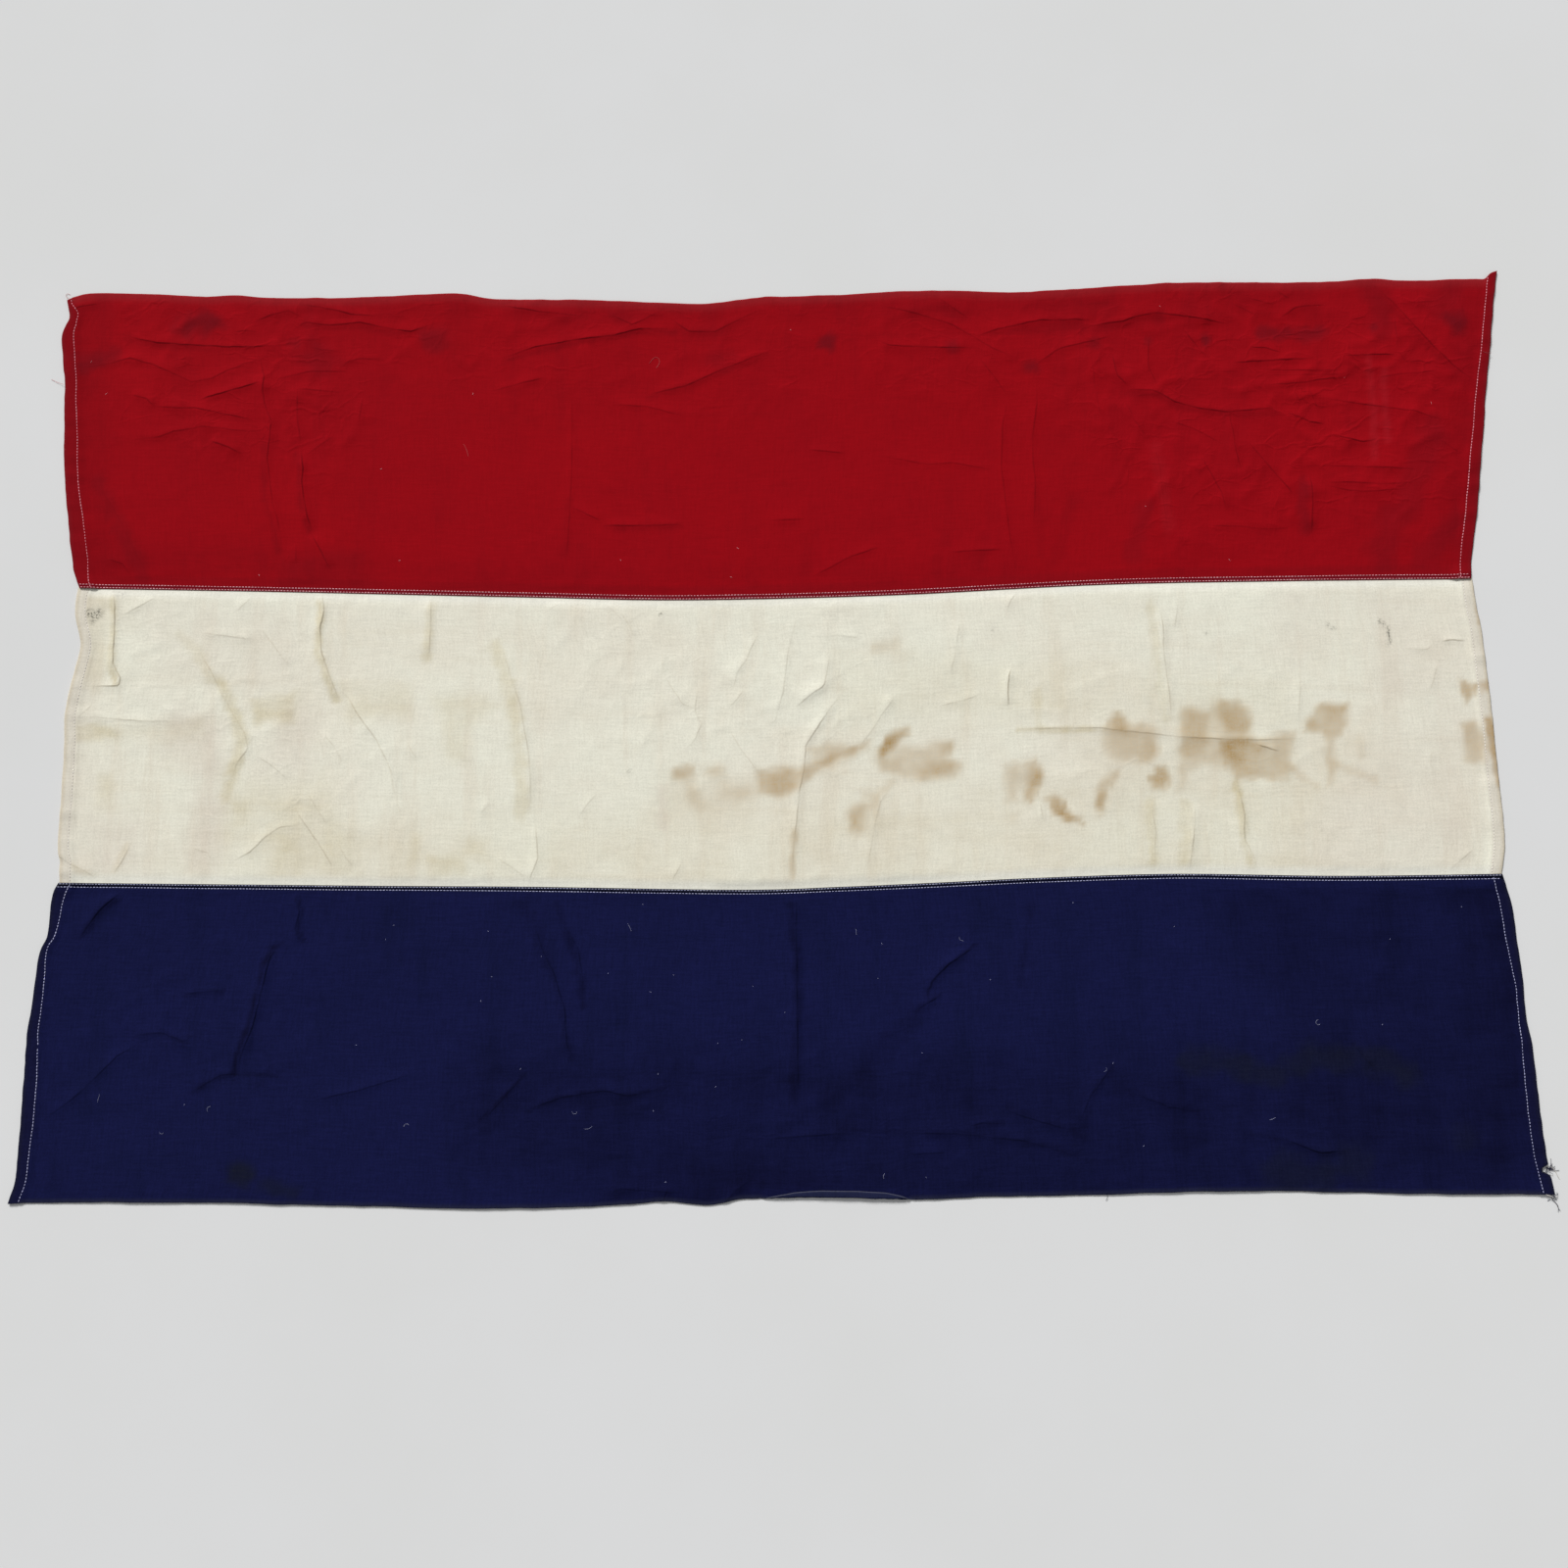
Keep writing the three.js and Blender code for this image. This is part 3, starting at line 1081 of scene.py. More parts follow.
    def sheet(self) -> bpy.types.Object:
        """Model the stripe's cloth, with its ends turned under as hems.

        Returns:
            The closed sheet.
        """
        seam_lines = self.lap_lines if self.laps_over else self.lapped_lines
        along = self.stations(self.length, self.hem_lines, self.hem_lines)
        across = self.stations(
            self.width,
            self.free_lines if self.sewn is Side.UPPER else seam_lines,
            self.free_lines if self.sewn is Side.LOWER else seam_lines,
        )
        under = np.array(self.tucked_shares)
        edge = len(under)
        columns = np.concatenate([under, along, under[::-1]])
        grid_along, grid_across = np.meshgrid(columns, across)
        share = across[:, None] / self.width
        grid_along[:, :edge] *= self.left_hem.width(share)
        grid_along[:, -edge:] = self.length - under[::-1] * self.right_hem.width(share)
        on_top = np.zeros(grid_along.shape, bool)
        on_top[:, edge:-edge] = True

        points = self.surface(grid_along, grid_across)
        squeezed = grid_across
        if self.laps_over:
            keep_off = LAP + 3.0
            moved = keep_off + (self.width - keep_off) * self.to_seam(grid_across) / self.width
            squeezed = moved if self.sewn is Side.LOWER else self.width - moved
        tucked = self.surface(grid_along, squeezed)
        tucked[..., 2] = CLOTH / 2 + 0.02
        points = np.where(on_top[..., None], points, tucked)
        self.top_points = points[:, edge:-edge].reshape(-1, 3)

        flat_along = grid_along.copy()
        flat_along[:, :edge] = -grid_along[:, :edge]
        flat_along[:, -edge:] = 2 * self.length - grid_along[:, -edge:]
        made = self.mesh_of(points * MM, flat_along * MM, grid_across * MM)
        self.paint(made, points.reshape(-1, 3), grid_along.ravel(), grid_across.ravel())
        thick = made.modifiers.new("cloth_thickness", "SOLIDIFY")
        thick.thickness, thick.offset = CLOTH * MM, 0.0
        thick.use_even_offset = False
        select_only(made)
        bpy.ops.object.modifier_apply(modifier=thick.name)
        made.data.polygons.foreach_set("use_smooth", np.ones(len(made.data.polygons), bool))
        return made

    def mesh_of(self, points: np.ndarray, flat_x: np.ndarray, flat_y: np.ndarray) -> bpy.types.Object:
        """Make a mesh from a grid of points, with the flat cloth's coordinates as its UV map.

        Args:
            points: The grid's points in metres.
            flat_x: Each point's place along the flat cloth, in metres.
            flat_y: Each point's place across it.

        Returns:
            The new object.
        """
        rows, columns = points.shape[:2]
        number = np.arange(rows * columns).reshape(rows, columns)
        quads = np.stack(
            [number[:-1, :-1], number[:-1, 1:], number[1:, 1:], number[1:, :-1]], axis=-1
        ).reshape(-1, 4)
        data = bpy.data.meshes.new(self.name)
        data.from_pydata(points.reshape(-1, 3).tolist(), [], quads.tolist())
        layer = data.uv_layers.new(name="cloth")
        flat = np.stack([flat_x.ravel(), flat_y.ravel()], axis=-1)[quads.ravel()]
        layer.uv.foreach_set("vector", flat.astype(np.float32).ravel())
        made = bpy.data.objects.new(f"{self.name}_cloth", data)
        bpy.context.scene.collection.objects.link(made)
        return made

    def paint(
        self, made: bpy.types.Object, points: np.ndarray, along: np.ndarray, across: np.ndarray
    ) -> None:
        """Store on the mesh's points what its finish reads: stains, soil, painted shade, hems, laps and
        creases.

        Args:
            made: The sheet, before it has its thickness.
            points: Each point's X, Y and Z in millimetres.
            along: Its distance from the left end of the flat strip.
            across: Its distance from the strip's lower edge.
        """
        x, y = points[:, 0], points[:, 1]
        to_end, to_seam = self.to_end(along), self.to_seam(across)
        past_row = to_end - self.hem_row(along, across)
        lapped = 1.0 if self.laps_over else 0.0
        from_lap = to_seam - LAP
        turned = self.turned_width(x)
        folded = smooth(0.5, 2.0, turned)
        values = {
            "stain": marked(self.stains, x, y),
            # Soil, and painted shade along creases and folds.
            "soiled_and_shaded": marked(self.soil, x, y) * smooth(1, 12, from_lap),
            "tinged": marked(self.tinged, x, y) * smooth(1, 12, from_lap),
            "soot": marked(self.soot, x, y),
            "crumple": np.clip(0.06 + marked(self.crushed, x, y), 0, 1) * smooth(0, 8, from_lap),
            "seam_side": 0.55 * smooth(10, 5.5, from_lap),
            "hem_layer": 0.85 * smooth(2.2, 0.4, past_row),
            "hem_rim": 0.85 * smooth(4.4, 1.6, to_end),
            "lap_layer": 0.85 * smooth(LAP - 0.2, LAP - 1.4, to_seam) * lapped,
            "turned_up": 0.8 * folded * smooth(turned + 0.3, turned - 0.9, across),
            "selvedge": 0.7 * folded * smooth(1.1, 0.3, across),
            "edge_band": 0.8 * (1 - folded) * smooth(self.edge_fade, 0.5, self.to_free_edge(across)),
        }
        for layer, group in enumerate(self.crease_groups()):
            nearest, amount = np.full(x.shape, 99.0), np.zeros(x.shape)
            for crease in group:
                distance, strength = crease.envelope(x, y)
                closer = np.abs(distance) < np.abs(nearest)
                nearest = np.where(closer, distance, nearest)
                amount = np.where(closer, crease.sharp * strength * smooth(12, 7, np.abs(distance)), amount)
            values[f"crease_distance_{layer}"] = nearest * MM
            values[f"crease_amount_{layer}"] = amount * smooth(0, 6, from_lap) * MM
        for name, numbers in values.items():
            stored = made.data.attributes.new(name, "FLOAT", "POINT")
            stored.data.foreach_set("value", np.asarray(numbers, np.float32))

    def crease_groups(self) -> list[list[Crease]]:
        """Share the creases out among the finish's layers so that those in one layer keep well apart.

        Returns:
            One list of creases for each layer.
        """
        groups: list[list[Crease]] = [[] for _ in range(self.finish.crease_layers)]
        for crease in self.creases:
            free = [
                group for group in groups
                if all(crease.line.gap_to(other.line) > CREASE_GAP for other in group)
            ]
            (free or [min(groups, key=len)])[0].append(crease)
        return groups

    def build(self) -> bpy.types.Object:
        """Model and dress the stripe, and fasten it to its node.

        Returns:
            The stripe's cloth.
        """
        made = self.sheet()
        made.data.materials.append(self.finish.material())
        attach(made, ROOT)
        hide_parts(self.name)
        LOG.info("%s: %d faces", made.name, len(made.data.polygons))
        return made


def select_only(made: bpy.types.Object) -> None:
    """Select one object, make it active and deselect everything else."""
    bpy.ops.object.select_all(action="DESELECT")
    made.select_set(True)
    bpy.context.view_layer.objects.active = made


# ------------------------------------------------------------------------------
# Stitches, loose threads and lint


@dataclass(frozen=True)
class Place:
    """Where one copy of a small shape goes: its middle in millimetres, its heading and its size factors."""

    middle: tuple[float, float, float]
    heading: float
    size: tuple[float, float, float]
    pitch: float = 0.0


@dataclass
class Copies:
    """A small shape, modelled once and copied to many places, all joined into one mesh."""

    name: str
    shape: bpy.types.Object
    places: list[Place]

    def build(self, finish: ThreadFinish) -> bpy.types.Object:
        """Join the copies and dress them.

        Args:
            finish: The thread that they are made of.

        Returns:
            The joined piece.
        """
        seed = np.array([vertex.co[:] for vertex in self.shape.data.vertices])
        faces = [list(face.vertices) for face in self.shape.data.polygons]
        points, polygons = [], []
        for number, place in enumerate(self.places):
            turn, lean = ((math.cos(angle), math.sin(angle)) for angle in (place.heading, place.pitch))
            x, y, z = (seed * np.array(place.size)).T
            x, z = x * lean[0] - z * lean[1], x * lean[1] + z * lean[0]
            spot = np.stack([x * turn[0] - y * turn[1], x * turn[1] + y * turn[0], z], axis=-1)
            points.append(spot + np.array(place.middle) * MM)
            polygons += [[corner + number * len(seed) for corner in face] for face in faces]
        data = bpy.data.meshes.new(self.name)
        data.from_pydata(np.vstack(points).tolist(), [], polygons)
        data.polygons.foreach_set("use_smooth", np.ones(len(data.polygons), bool))
        made = bpy.data.objects.new(self.name, data)
        bpy.context.scene.collection.objects.link(made)
        data.materials.append(finish.material())
        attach(made, ROOT)
        LOG.info("%s: %d copies", self.name, len(self.places))
        return made


def stitch_shape(length: float, thickness: float) -> bpy.types.Object:
    """Model one stitch: a short thread whose ends dive into the cloth.

    Args:
        length: Its length in millimetres.
        thickness: The thread's thickness.

    Returns:
        The shape, which is removed once it has been copied.
    """
    radius = 0.5 * MM
    bpy.ops.object.select_all(action="DESELECT")
    bpy.ops.mesh.primitive_uv_sphere_add(
        segments=6, ring_count=6, radius=radius, rotation=(0, math.pi / 2, 0)
    )
    made = bpy.context.active_object
    bpy.ops.object.transform_apply(location=False, rotation=True, scale=False)
    for vertex in made.data.vertices:
        share = vertex.co.x / radius
        full = math.sqrt(max(0.0, 1 - share ** 4)) / max(1e-6, math.sqrt(max(1e-12, 1 - share ** 2)))
        vertex.co.x *= length
        vertex.co.y *= thickness * min(full, 1.5)
        vertex.co.z = vertex.co.z * thickness * min(full, 1.5) - 0.22 * MM * share ** 2
    return made


@dataclass
class StitchRow:
    """A row of machine stitches that follows a stripe's edge."""

    name: str
    stripe: Stripe
    finish: ThreadFinish
    pitch: float = 3.2
    thickness: float = 0.75
    stitch_share: float = 0.8
    seed: int = 1
    skipped: Points = ()
    clearance: float = 0.12
    samples: int = 3000

    def run(self, share: np.ndarray) -> tuple[np.ndarray, np.ndarray]:
        """Where the row runs on the flat strip, which each kind of row says for itself."""
        raise NotImplementedError

    def build(self) -> bpy.types.Object:
        """Sew the row.

        Returns:
            The joined stitches.
        """
        track = self.stripe.surface(*self.run(np.linspace(0, 1, self.samples)))
        travelled = np.concatenate([[0], np.cumsum(np.hypot(*np.diff(track[:, :2], axis=0).T))])
        total = travelled[-1]
        count = int(total / self.pitch)
        middles = (np.arange(count) + 0.5) * self.pitch
        spots, ahead, behind = (
            np.stack([np.interp(middles + shift, travelled, track[:, axis]) for axis in range(3)], axis=-1)
            for shift in (0.0, 1.0, -1.0)
        )
        draw = np.random.default_rng(self.seed)
        places = []
        for middle, spot, step in zip(middles, spots, ahead - behind):
            jitter = draw.normal(0, 1, 4)
            if any(low < middle / total < high for low, high in self.skipped):
                continue
            heading = math.atan2(step[1], step[0]) + 0.05 * jitter[0]
            slope = math.atan2(step[2], math.hypot(step[0], step[1]))
            lifted = (spot[0], spot[1], spot[2] + CLOTH / 2 + self.clearance)
            size = (1 + 0.06 * jitter[1], 1 + 0.1 * jitter[2], 1 + 0.1 * jitter[3])
            places.append(Place(lifted, heading, size, slope))
        shape = stitch_shape(self.pitch * self.stitch_share, self.thickness)
        made = Copies(self.name, shape, places).build(self.finish)
        bpy.data.objects.remove(shape)
        return made


@dataclass
class SeamRow(StitchRow):
    """A row along a felled seam, at a distance from the lap's folded edge."""

    inset: float = SEAM_ROWS[0]

    def run(self, share: np.ndarray) -> tuple[np.ndarray, np.ndarray]:
        """Where the row runs.

        Args:
            share: How far along the row, from 0 to 1.

        Returns:
            Distances along and across the flat strip.
        """
        wander = 0.25 * layered_noise(share * 1400, share * 0, 60, self.seed + 50, 2)
        inset = self.inset + wander
        across = inset if self.stripe.sewn is Side.LOWER else self.stripe.width - inset
        return 1.0 + share * (self.stripe.length - 2.0), across


@dataclass
class HemRow(StitchRow):
    """The single row that holds a stripe's turned end."""

    right_end: bool = False

    def run(self, share: np.ndarray) -> tuple[np.ndarray, np.ndarray]:
        """Where the row runs.

        Args:
            share: How far along the row, from 0 to 1.

        Returns:
            Distances along and across the flat strip.
        """
        across = 1.0 + share * (self.stripe.width - 2.0)
        hem = self.stripe.right_hem if self.right_end else self.stripe.left_hem
        wander = 0.5 * layered_noise(across, share * 0, 30, self.seed + 80, 2)
        inset = hem.row(across / self.stripe.width) + wander
        return self.stripe.length - inset if self.right_end else inset, across


@dataclass
class Fibres:
    """Loose fibres of one thread, which lie on a stripe or on the surface beside it."""

    name: str
    finish: ThreadFinish
    stripe: Stripe
    paths: list[Path]
    thickness: float = 0.22

    def draped(self, path: Path) -> np.ndarray:
        """Lay a path's X and Y down on the cloth, as points in metres."""
        heights = [self.stripe.top(x, y) + 0.5 * self.thickness + 0.05 for x, y in path]
        return np.column_stack([np.array(path, float), heights]) * MM

    def build(self) -> bpy.types.Object:
        """Spin the fibres as thin tubes and join them.

        Returns:
            The joined fibres.
        """
        data = bpy.data.curves.new(self.name, "CURVE")
        data.dimensions, data.bevel_depth, data.bevel_resolution = "3D", self.thickness / 2 * MM, 0
        data.resolution_u, data.use_fill_caps = 3, True
        for path in self.paths:
            spline = data.splines.new("NURBS")
            spline.points.add(len(path) - 1)
            for point, spot in zip(spline.points, self.draped(path)):
                point.co = (*spot, 1)
            spline.use_endpoint_u, spline.order_u = True, 3
        made = bpy.data.objects.new(self.name, data)
        bpy.context.scene.collection.objects.link(made)
        select_only(made)
        bpy.ops.object.convert(target="MESH")
        made = bpy.context.active_object
        made.data.polygons.foreach_set("use_smooth", np.ones(len(made.data.polygons), bool))
        made.data.materials.clear()
        made.data.materials.append(self.finish.material())
        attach(made, ROOT)
        LOG.info("%s: %d fibres", made.name, len(self.paths))
        return made


def curled(spot: np.ndarray, angle: float, bend: float, step: float) -> Path:
    """Bend one fibre.

    Args:
        spot: Where it starts, in millimetres.
        angle: The way that it starts, in radians from +X.
        bend: How much it turns at each point.
        step: How far apart its points are.

    Returns:
        Its five points.
    """
    path = []
    for _ in range(5):
        path.append((float(spot[0]), float(spot[1])))
        angle += bend
        spot = spot + step * np.array([math.cos(angle), math.sin(angle)])
    return path


def curls(places: Points, length: float, seed: int) -> list[Path]:
    """Scatter short curled fibres.

    Args:
        places: Where each one starts, in millimetres.
        length: Their mean length.
        seed: Picks the random draw.

    Returns:
        One path for each fibre.
    """
    draw = np.random.default_rng(seed)
    paths = []
    for start in places:
        angle, bend = draw.uniform(0, 2 * math.pi), draw.normal(0, 0.6)
        paths.append(curled(np.array(start, float), angle, bend, length * draw.uniform(0.7, 1.3) / 4))
    return paths


def tuft(start: tuple[float, float], heading: float, count: int, length: float, seed: int) -> list[Path]:
    """Fray a spot into short curling fibres.

    Args:
        start: Where they leave the cloth, in millimetres.
        heading: The way they point, in radians from +X.
        count: How many there are.
        length: Their mean length.
        seed: Picks the random draw.

    Returns:
        One path for each fibre.
    """
    draw = np.random.default_rng(seed)
    paths = []
    for _ in range(count):
        angle, bend = heading + draw.normal(0, 0.55), draw.normal(0, 0.45)
        spot = np.array(start) + draw.normal(0, 1.2, 2)
        paths.append(curled(spot, angle, bend, length * draw.uniform(0.5, 1.3) / 4))
    return paths


# ------------------------------------------------------------------------------
# The flag

RED_SEAM = (
    (-722, 141), (-533, 138), (-265, 132), (-100, 129), (110, 134), (326, 145), (520, 149), (709, 151),
)
BLUE_SEAM = (
    (-726, -161), (-411, -164), (-253, -165), (-42, -168), (62, -165), (154, -161), (260, -156),
    (397, -152), (562, -154), (725, -152),
)


def shifted(points: Points, distance: float) -> Points:
    """Move a line's points along Y."""
    return tuple((x, y + distance) for x, y in points)


RED_CREASES = [
    *creases(2.6, 5.0, 0.6, ((-499, 288), (-496, 268), (-497, 253), (-494, 235), (-490, 217), (-484, 201))),
    *creases(
        1.3, 5.0, 0.42,
        ((-688, 413), (-672, 408), (-654, 404), (-631, 402), (-610, 401), (-576, 399), (-521, 401)),
        ((-513, 417), (-500, 426), (-472, 423), (-441, 426), (-415, 420), (-388, 416), (-362, 425)),
        ((-292, 387), (-259, 399), (-216, 407), (-180, 411), (-147, 419), (-113, 419)),
        ((-183, 208), (-142, 208), (-102, 209)),
        ((471, 382), (484, 383), (505, 384), (537, 386), (558, 387)),
        ((522, 329), (538, 324), (548, 319), (564, 316)),
        ((-605, 342), (-587, 348), (-566, 354), (-543, 361)),
        ((-507, 446), (-492, 444), (-471, 440), (-451, 435), (-425, 433)),
        ((-291, 444), (-254, 438), (-210, 433)), ((522, 431), (537, 441), (548, 444), (569, 445)),
        ((572, 304), (603, 297), (618, 300)), ((-744, 440), (-732, 444), (-716, 446)),
        ((360, 353), (386, 352), (396, 348), (409, 340), (435, 333), (463, 329), (486, 331), (515, 334)),
    ),
    *creases(
        2.0, 7.0, 0.4,
        ((330, 424), (358, 427), (373, 433), (391, 436), (410, 434), (436, 430), (470, 424)),
        ((546, 262), (548, 240), (546, 200)),
        ((621, 468), (642, 446), (662, 422), (681, 400), (699, 381), (712, 370), (725, 361)),
    ),
    *creases(
        1.4, 5.5, 0.34,
        ((-484, 199), (-472, 178), (-464, 161)), ((-138, 348), (-100, 357), (-64, 374), (-15, 394)),
        ((203, 411), (228, 419), (272, 429), (332, 429)), ((346, 391), (350, 368), (361, 357)),
        ((99, 408), (112, 401), (156, 399), (205, 398)),
        ((-652, 335), (-631, 333), (-610, 333), (-592, 329), (-569, 325), (-549, 320)),
        ((-593, 298), (-575, 292), (-560, 284)), ((-553, 427), (-535, 434), (-517, 439), (-502, 432)),
        ((489, 399), (505, 398), (521, 393)), ((584, 389), (621, 391), (642, 391)),
        ((435, 281), (445, 262), (455, 243), (460, 222)), ((484, 297), (501, 276), (519, 254), (531, 238)),
        ((465, 328), (468, 308), (470, 289), (475, 268)),
        ((506, 358), (524, 359), (545, 361), (561, 364), (587, 366)),
    ),
    *creases(
        1.8, 7.0, 0.32,
        ((-556, 398), (-546, 388), (-540, 367), (-541, 351), (-538, 335), (-531, 319), (-532, 300),
         (-534, 280), (-530, 254), (-527, 232), (-520, 211), (-514, 180)),
    ),
    *creases(
        1.2, 8.0, 0.12,
        ((-707, 253), (-687, 222), (-668, 186), (-651, 155)),
        ((383, 297), (390, 278), (393, 240), (397, 208)),
        ((322, 399), (325, 362), (330, 328), (346, 301), (359, 273)), ((709, 457), (714, 430), (719, 420)),
    ),
    *creases(
        0.9, 4.5, 0.23,
        ((-731, 377), (-702, 381), (-680, 387), (-656, 380), (-629, 368), (-614, 361), (-594, 365),
         (-579, 373), (-555, 383), (-530, 391)), ((-505, 354), (-504, 320), (-499, 294)),
        ((-676, 347), (-661, 343), (-652, 335)),
        ((-674, 299), (-646, 302), (-631, 308), (-601, 313), (-581, 311), (-553, 308), (-540, 309),
         (-530, 319)), ((-572, 415), (-562, 417), (-548, 416)), ((-697, 173), (-678, 168), (-668, 155)),
        ((-501, 187), (-500, 168)), ((-493, 283), (-466, 303)), ((-505, 354), (-480, 352), (-459, 350)),
        ((-437, 343), (-440, 315)), ((-495, 399), (-478, 396), (-458, 395)),
        ((-526, 364), (-508, 369), (-492, 373), (-454, 373)),
        ((-461, 376), (-454, 383), (-441, 387), (-414, 386)), ((-182, 436), (-156, 423), (-122, 441)),
        ((-117, 431), (-97, 416), (-70, 416), (-23, 440)), ((-173, 337), (-140, 335), (-103, 325)),
        ((-300, 352), (-248, 366)), ((-219, 345), (-218, 273), (-219, 231), (-221, 188), (-222, 167)),
        ((-218, 228), (-186, 213)), ((-12, 213), (23, 215)),
        ((104, 444), (140, 436), (178, 424), (201, 410), (222, 397), (249, 385)), ((165, 452), (195, 431)),
        ((205, 389), (221, 368), (235, 347)),
        ((235, 343), (229, 315), (227, 273), (231, 231), (235, 194), (240, 161)),
        ((265, 365), (265, 337), (260, 303), (260, 278), (262, 250), (259, 200)),
        ((266, 381), (291, 398), (324, 406), (343, 411)), ((358, 342), (365, 323), (380, 300)),
        ((383, 408), (382, 377), (391, 357)), ((27, 289), (66, 285)),
        ((103, 282), (152, 273), (176, 275), (220, 267)), ((32, 154), (70, 175), (103, 186)),
        ((171, 180), (227, 183)), ((421, 418), (434, 400), (443, 389)),
        ((405, 319), (428, 311), (441, 304), (455, 296)), ((441, 208), (475, 207), (499, 204), (524, 205)),
        ((527, 272), (553, 271), (579, 271), (615, 270), (659, 268)),
        ((563, 254), (590, 254), (616, 252), (650, 253)), ((566, 250), (589, 245), (604, 244), (645, 247)),
        ((434, 372), (458, 372), (479, 373)), ((503, 375), (526, 374), (558, 373), (581, 374)),
        ((550, 352), (554, 343), (558, 332)), ((534, 351), (540, 340)),
        ((643, 446), (656, 446), (682, 449)), ((472, 447), (484, 441), (498, 433)),
        ((491, 452), (508, 447), (516, 446)), ((518, 462), (532, 452)), ((597, 428), (612, 433)),
        ((642, 438), (644, 395), (652, 383), (668, 384), (679, 381)), ((621, 366), (646, 370), (681, 373)),
        ((560, 344), (609, 337), (638, 333), (661, 329), (685, 321), (703, 320)), ((684, 299), (703, 285)),
    ),
]

WHITE_CREASES = [
    *creases(
        1.7, 4.5, 0.55,
        ((-688, 152), (-684, 122), (-683, 84), (-683, 63), (-675, 48), (-676, 40), (-706, 40)),
        ((-475, 150), (-469, 118), (-473, 100), (-471, 76), (-462, 50), (-451, 25)),
        ((233, 58), (230, 40), (230, 18)),
    ),
    *creases(
        0.8, 5.0, 0.26,
        ((237, -4), (322, -3), (378, -9), (404, -12), (459, -15), (493, -15), (533, -14)),
    ),
    *creases(0.8, 4.0, 0.36, ((483, -20), (505, -27)), ((676, 87), (686, 88), (699, 87))),
    *creases(
        0.8, 4.5, 0.26,
        ((-735, -128), (-716, -141), (-700, -149), (-688, -156)),
        ((-655, -118), (-662, -134), (-672, -152)),
        ((-552, -138), (-536, -130), (-521, -114), (-506, -104), (-488, -103)),
        ((-492, -84), (-480, -102), (-464, -124), (-450, -146)), ((-715, 8), (-703, 20)),
        ((-532, 100), (-516, 78), (-502, 60)),
    ),
    *creases(
        1.3, 5.0, 0.27,
        ((-600, 82), (-580, 50), (-573, 36), (-562, 16), (-546, -9), (-542, -25), (-553, -40), (-556, -54)),
        ((-288, 84), (-277, 50), (-266, 19), (-262, -5), (-257, -29), (-255, -60), (-255, -91)),
        ((-249, -100), (-247, -121), (-246, -136), (-255, -161)),
        ((62, 33), (50, 18), (39, 2), (24, -21), (22, -48), (18, -65), (15, -94), (11, -130), (10, -158)),
        ((-360, 132), (-360, 100), (-361, 68)), ((49, 73), (43, 40), (32, 33), (14, 18)),
        ((418, -83), (415, -114), (410, -149)), ((387, 123), (390, 100), (390, 71), (394, 37), (396, 4)),
        ((461, -60), (467, -91), (466, -117), (475, -134), (478, -149)),
        ((-451, 37), (-441, 28), (-433, 14), (-421, -2), (-411, -15), (-401, -34), (-395, -48),
         (-390, -77)),
    ),
    *creases(
        0.65, 4.5, 0.15,
        ((-676, 113), (-641, 133)), ((-559, 118), (-545, 131)), ((-594, 95), (-575, 93), (-539, 88)),
        ((-724, 8), (-700, 8), (-650, 4), (-610, 4)), ((-592, -126), (-578, -130), (-572, -139)),
        ((-478, -70), (-470, -84), (-459, -101)), ((-450, -114), (-439, -134), (-430, -145)),
        ((-532, -32), (-520, -39), (-505, -51), (-496, -60)), ((-466, -8), (-454, -22), (-445, -37)),
        ((-390, -77), (-385, -93)), ((-380, -18), (-370, -34)), ((-304, -91), (-295, -79)),
        ((-288, -134), (-274, -143), (-257, -155)), ((-204, -93), (-197, -81), (-188, -72)),
        ((-239, 119), (-228, 126)), ((-182, 127), (-172, 118), (-162, 108)),
        ((-165, 119), (-156, 103), (-150, 91)),
        ((-122, 81), (-121, 62), (-118, 50), (-110, 36), (-100, 21), (-88, 17)),
        ((-85, 43), (-88, 21), (-88, 12), (-82, 0), (-88, -15), (-97, -25)),
        ((-24, 94), (-31, 81), (-37, 66), (-46, 54), (-50, 36)), ((-52, 19), (-40, 34)),
        ((-52, -5), (-41, -25), (-30, -39), (-20, -53)), ((-110, -157), (-101, -141)),
        ((16, 116), (6, 75), (1, 33), (-4, 16), (-7, 3), (-18, 1)), ((47, 110), (47, 88)),
        ((116, 30), (102, 11), (90, -8), (78, -24)), ((106, 28), (112, 22)), ((50, 93), (64, 92), (80, 90)),
        ((182, 107), (177, 73), (172, 52)), ((241, 137), (234, 128), (231, 120)),
        ((162, 20), (184, 25), (201, 31)), ((113, -60), (100, -78), (94, -100), (86, -146)),
        ((258, -65), (264, -99)), ((372, -75), (377, -109), (374, -149)), ((407, 134), (402, 100)),
        ((529, 50), (525, 4)), ((637, 79), (660, 78), (665, 82)), ((669, 63), (664, 44), (660, 35)),
        ((672, -147), (684, -137), (697, -127)), ((659, -25), (657, -42), (664, -50)),
    ),
]

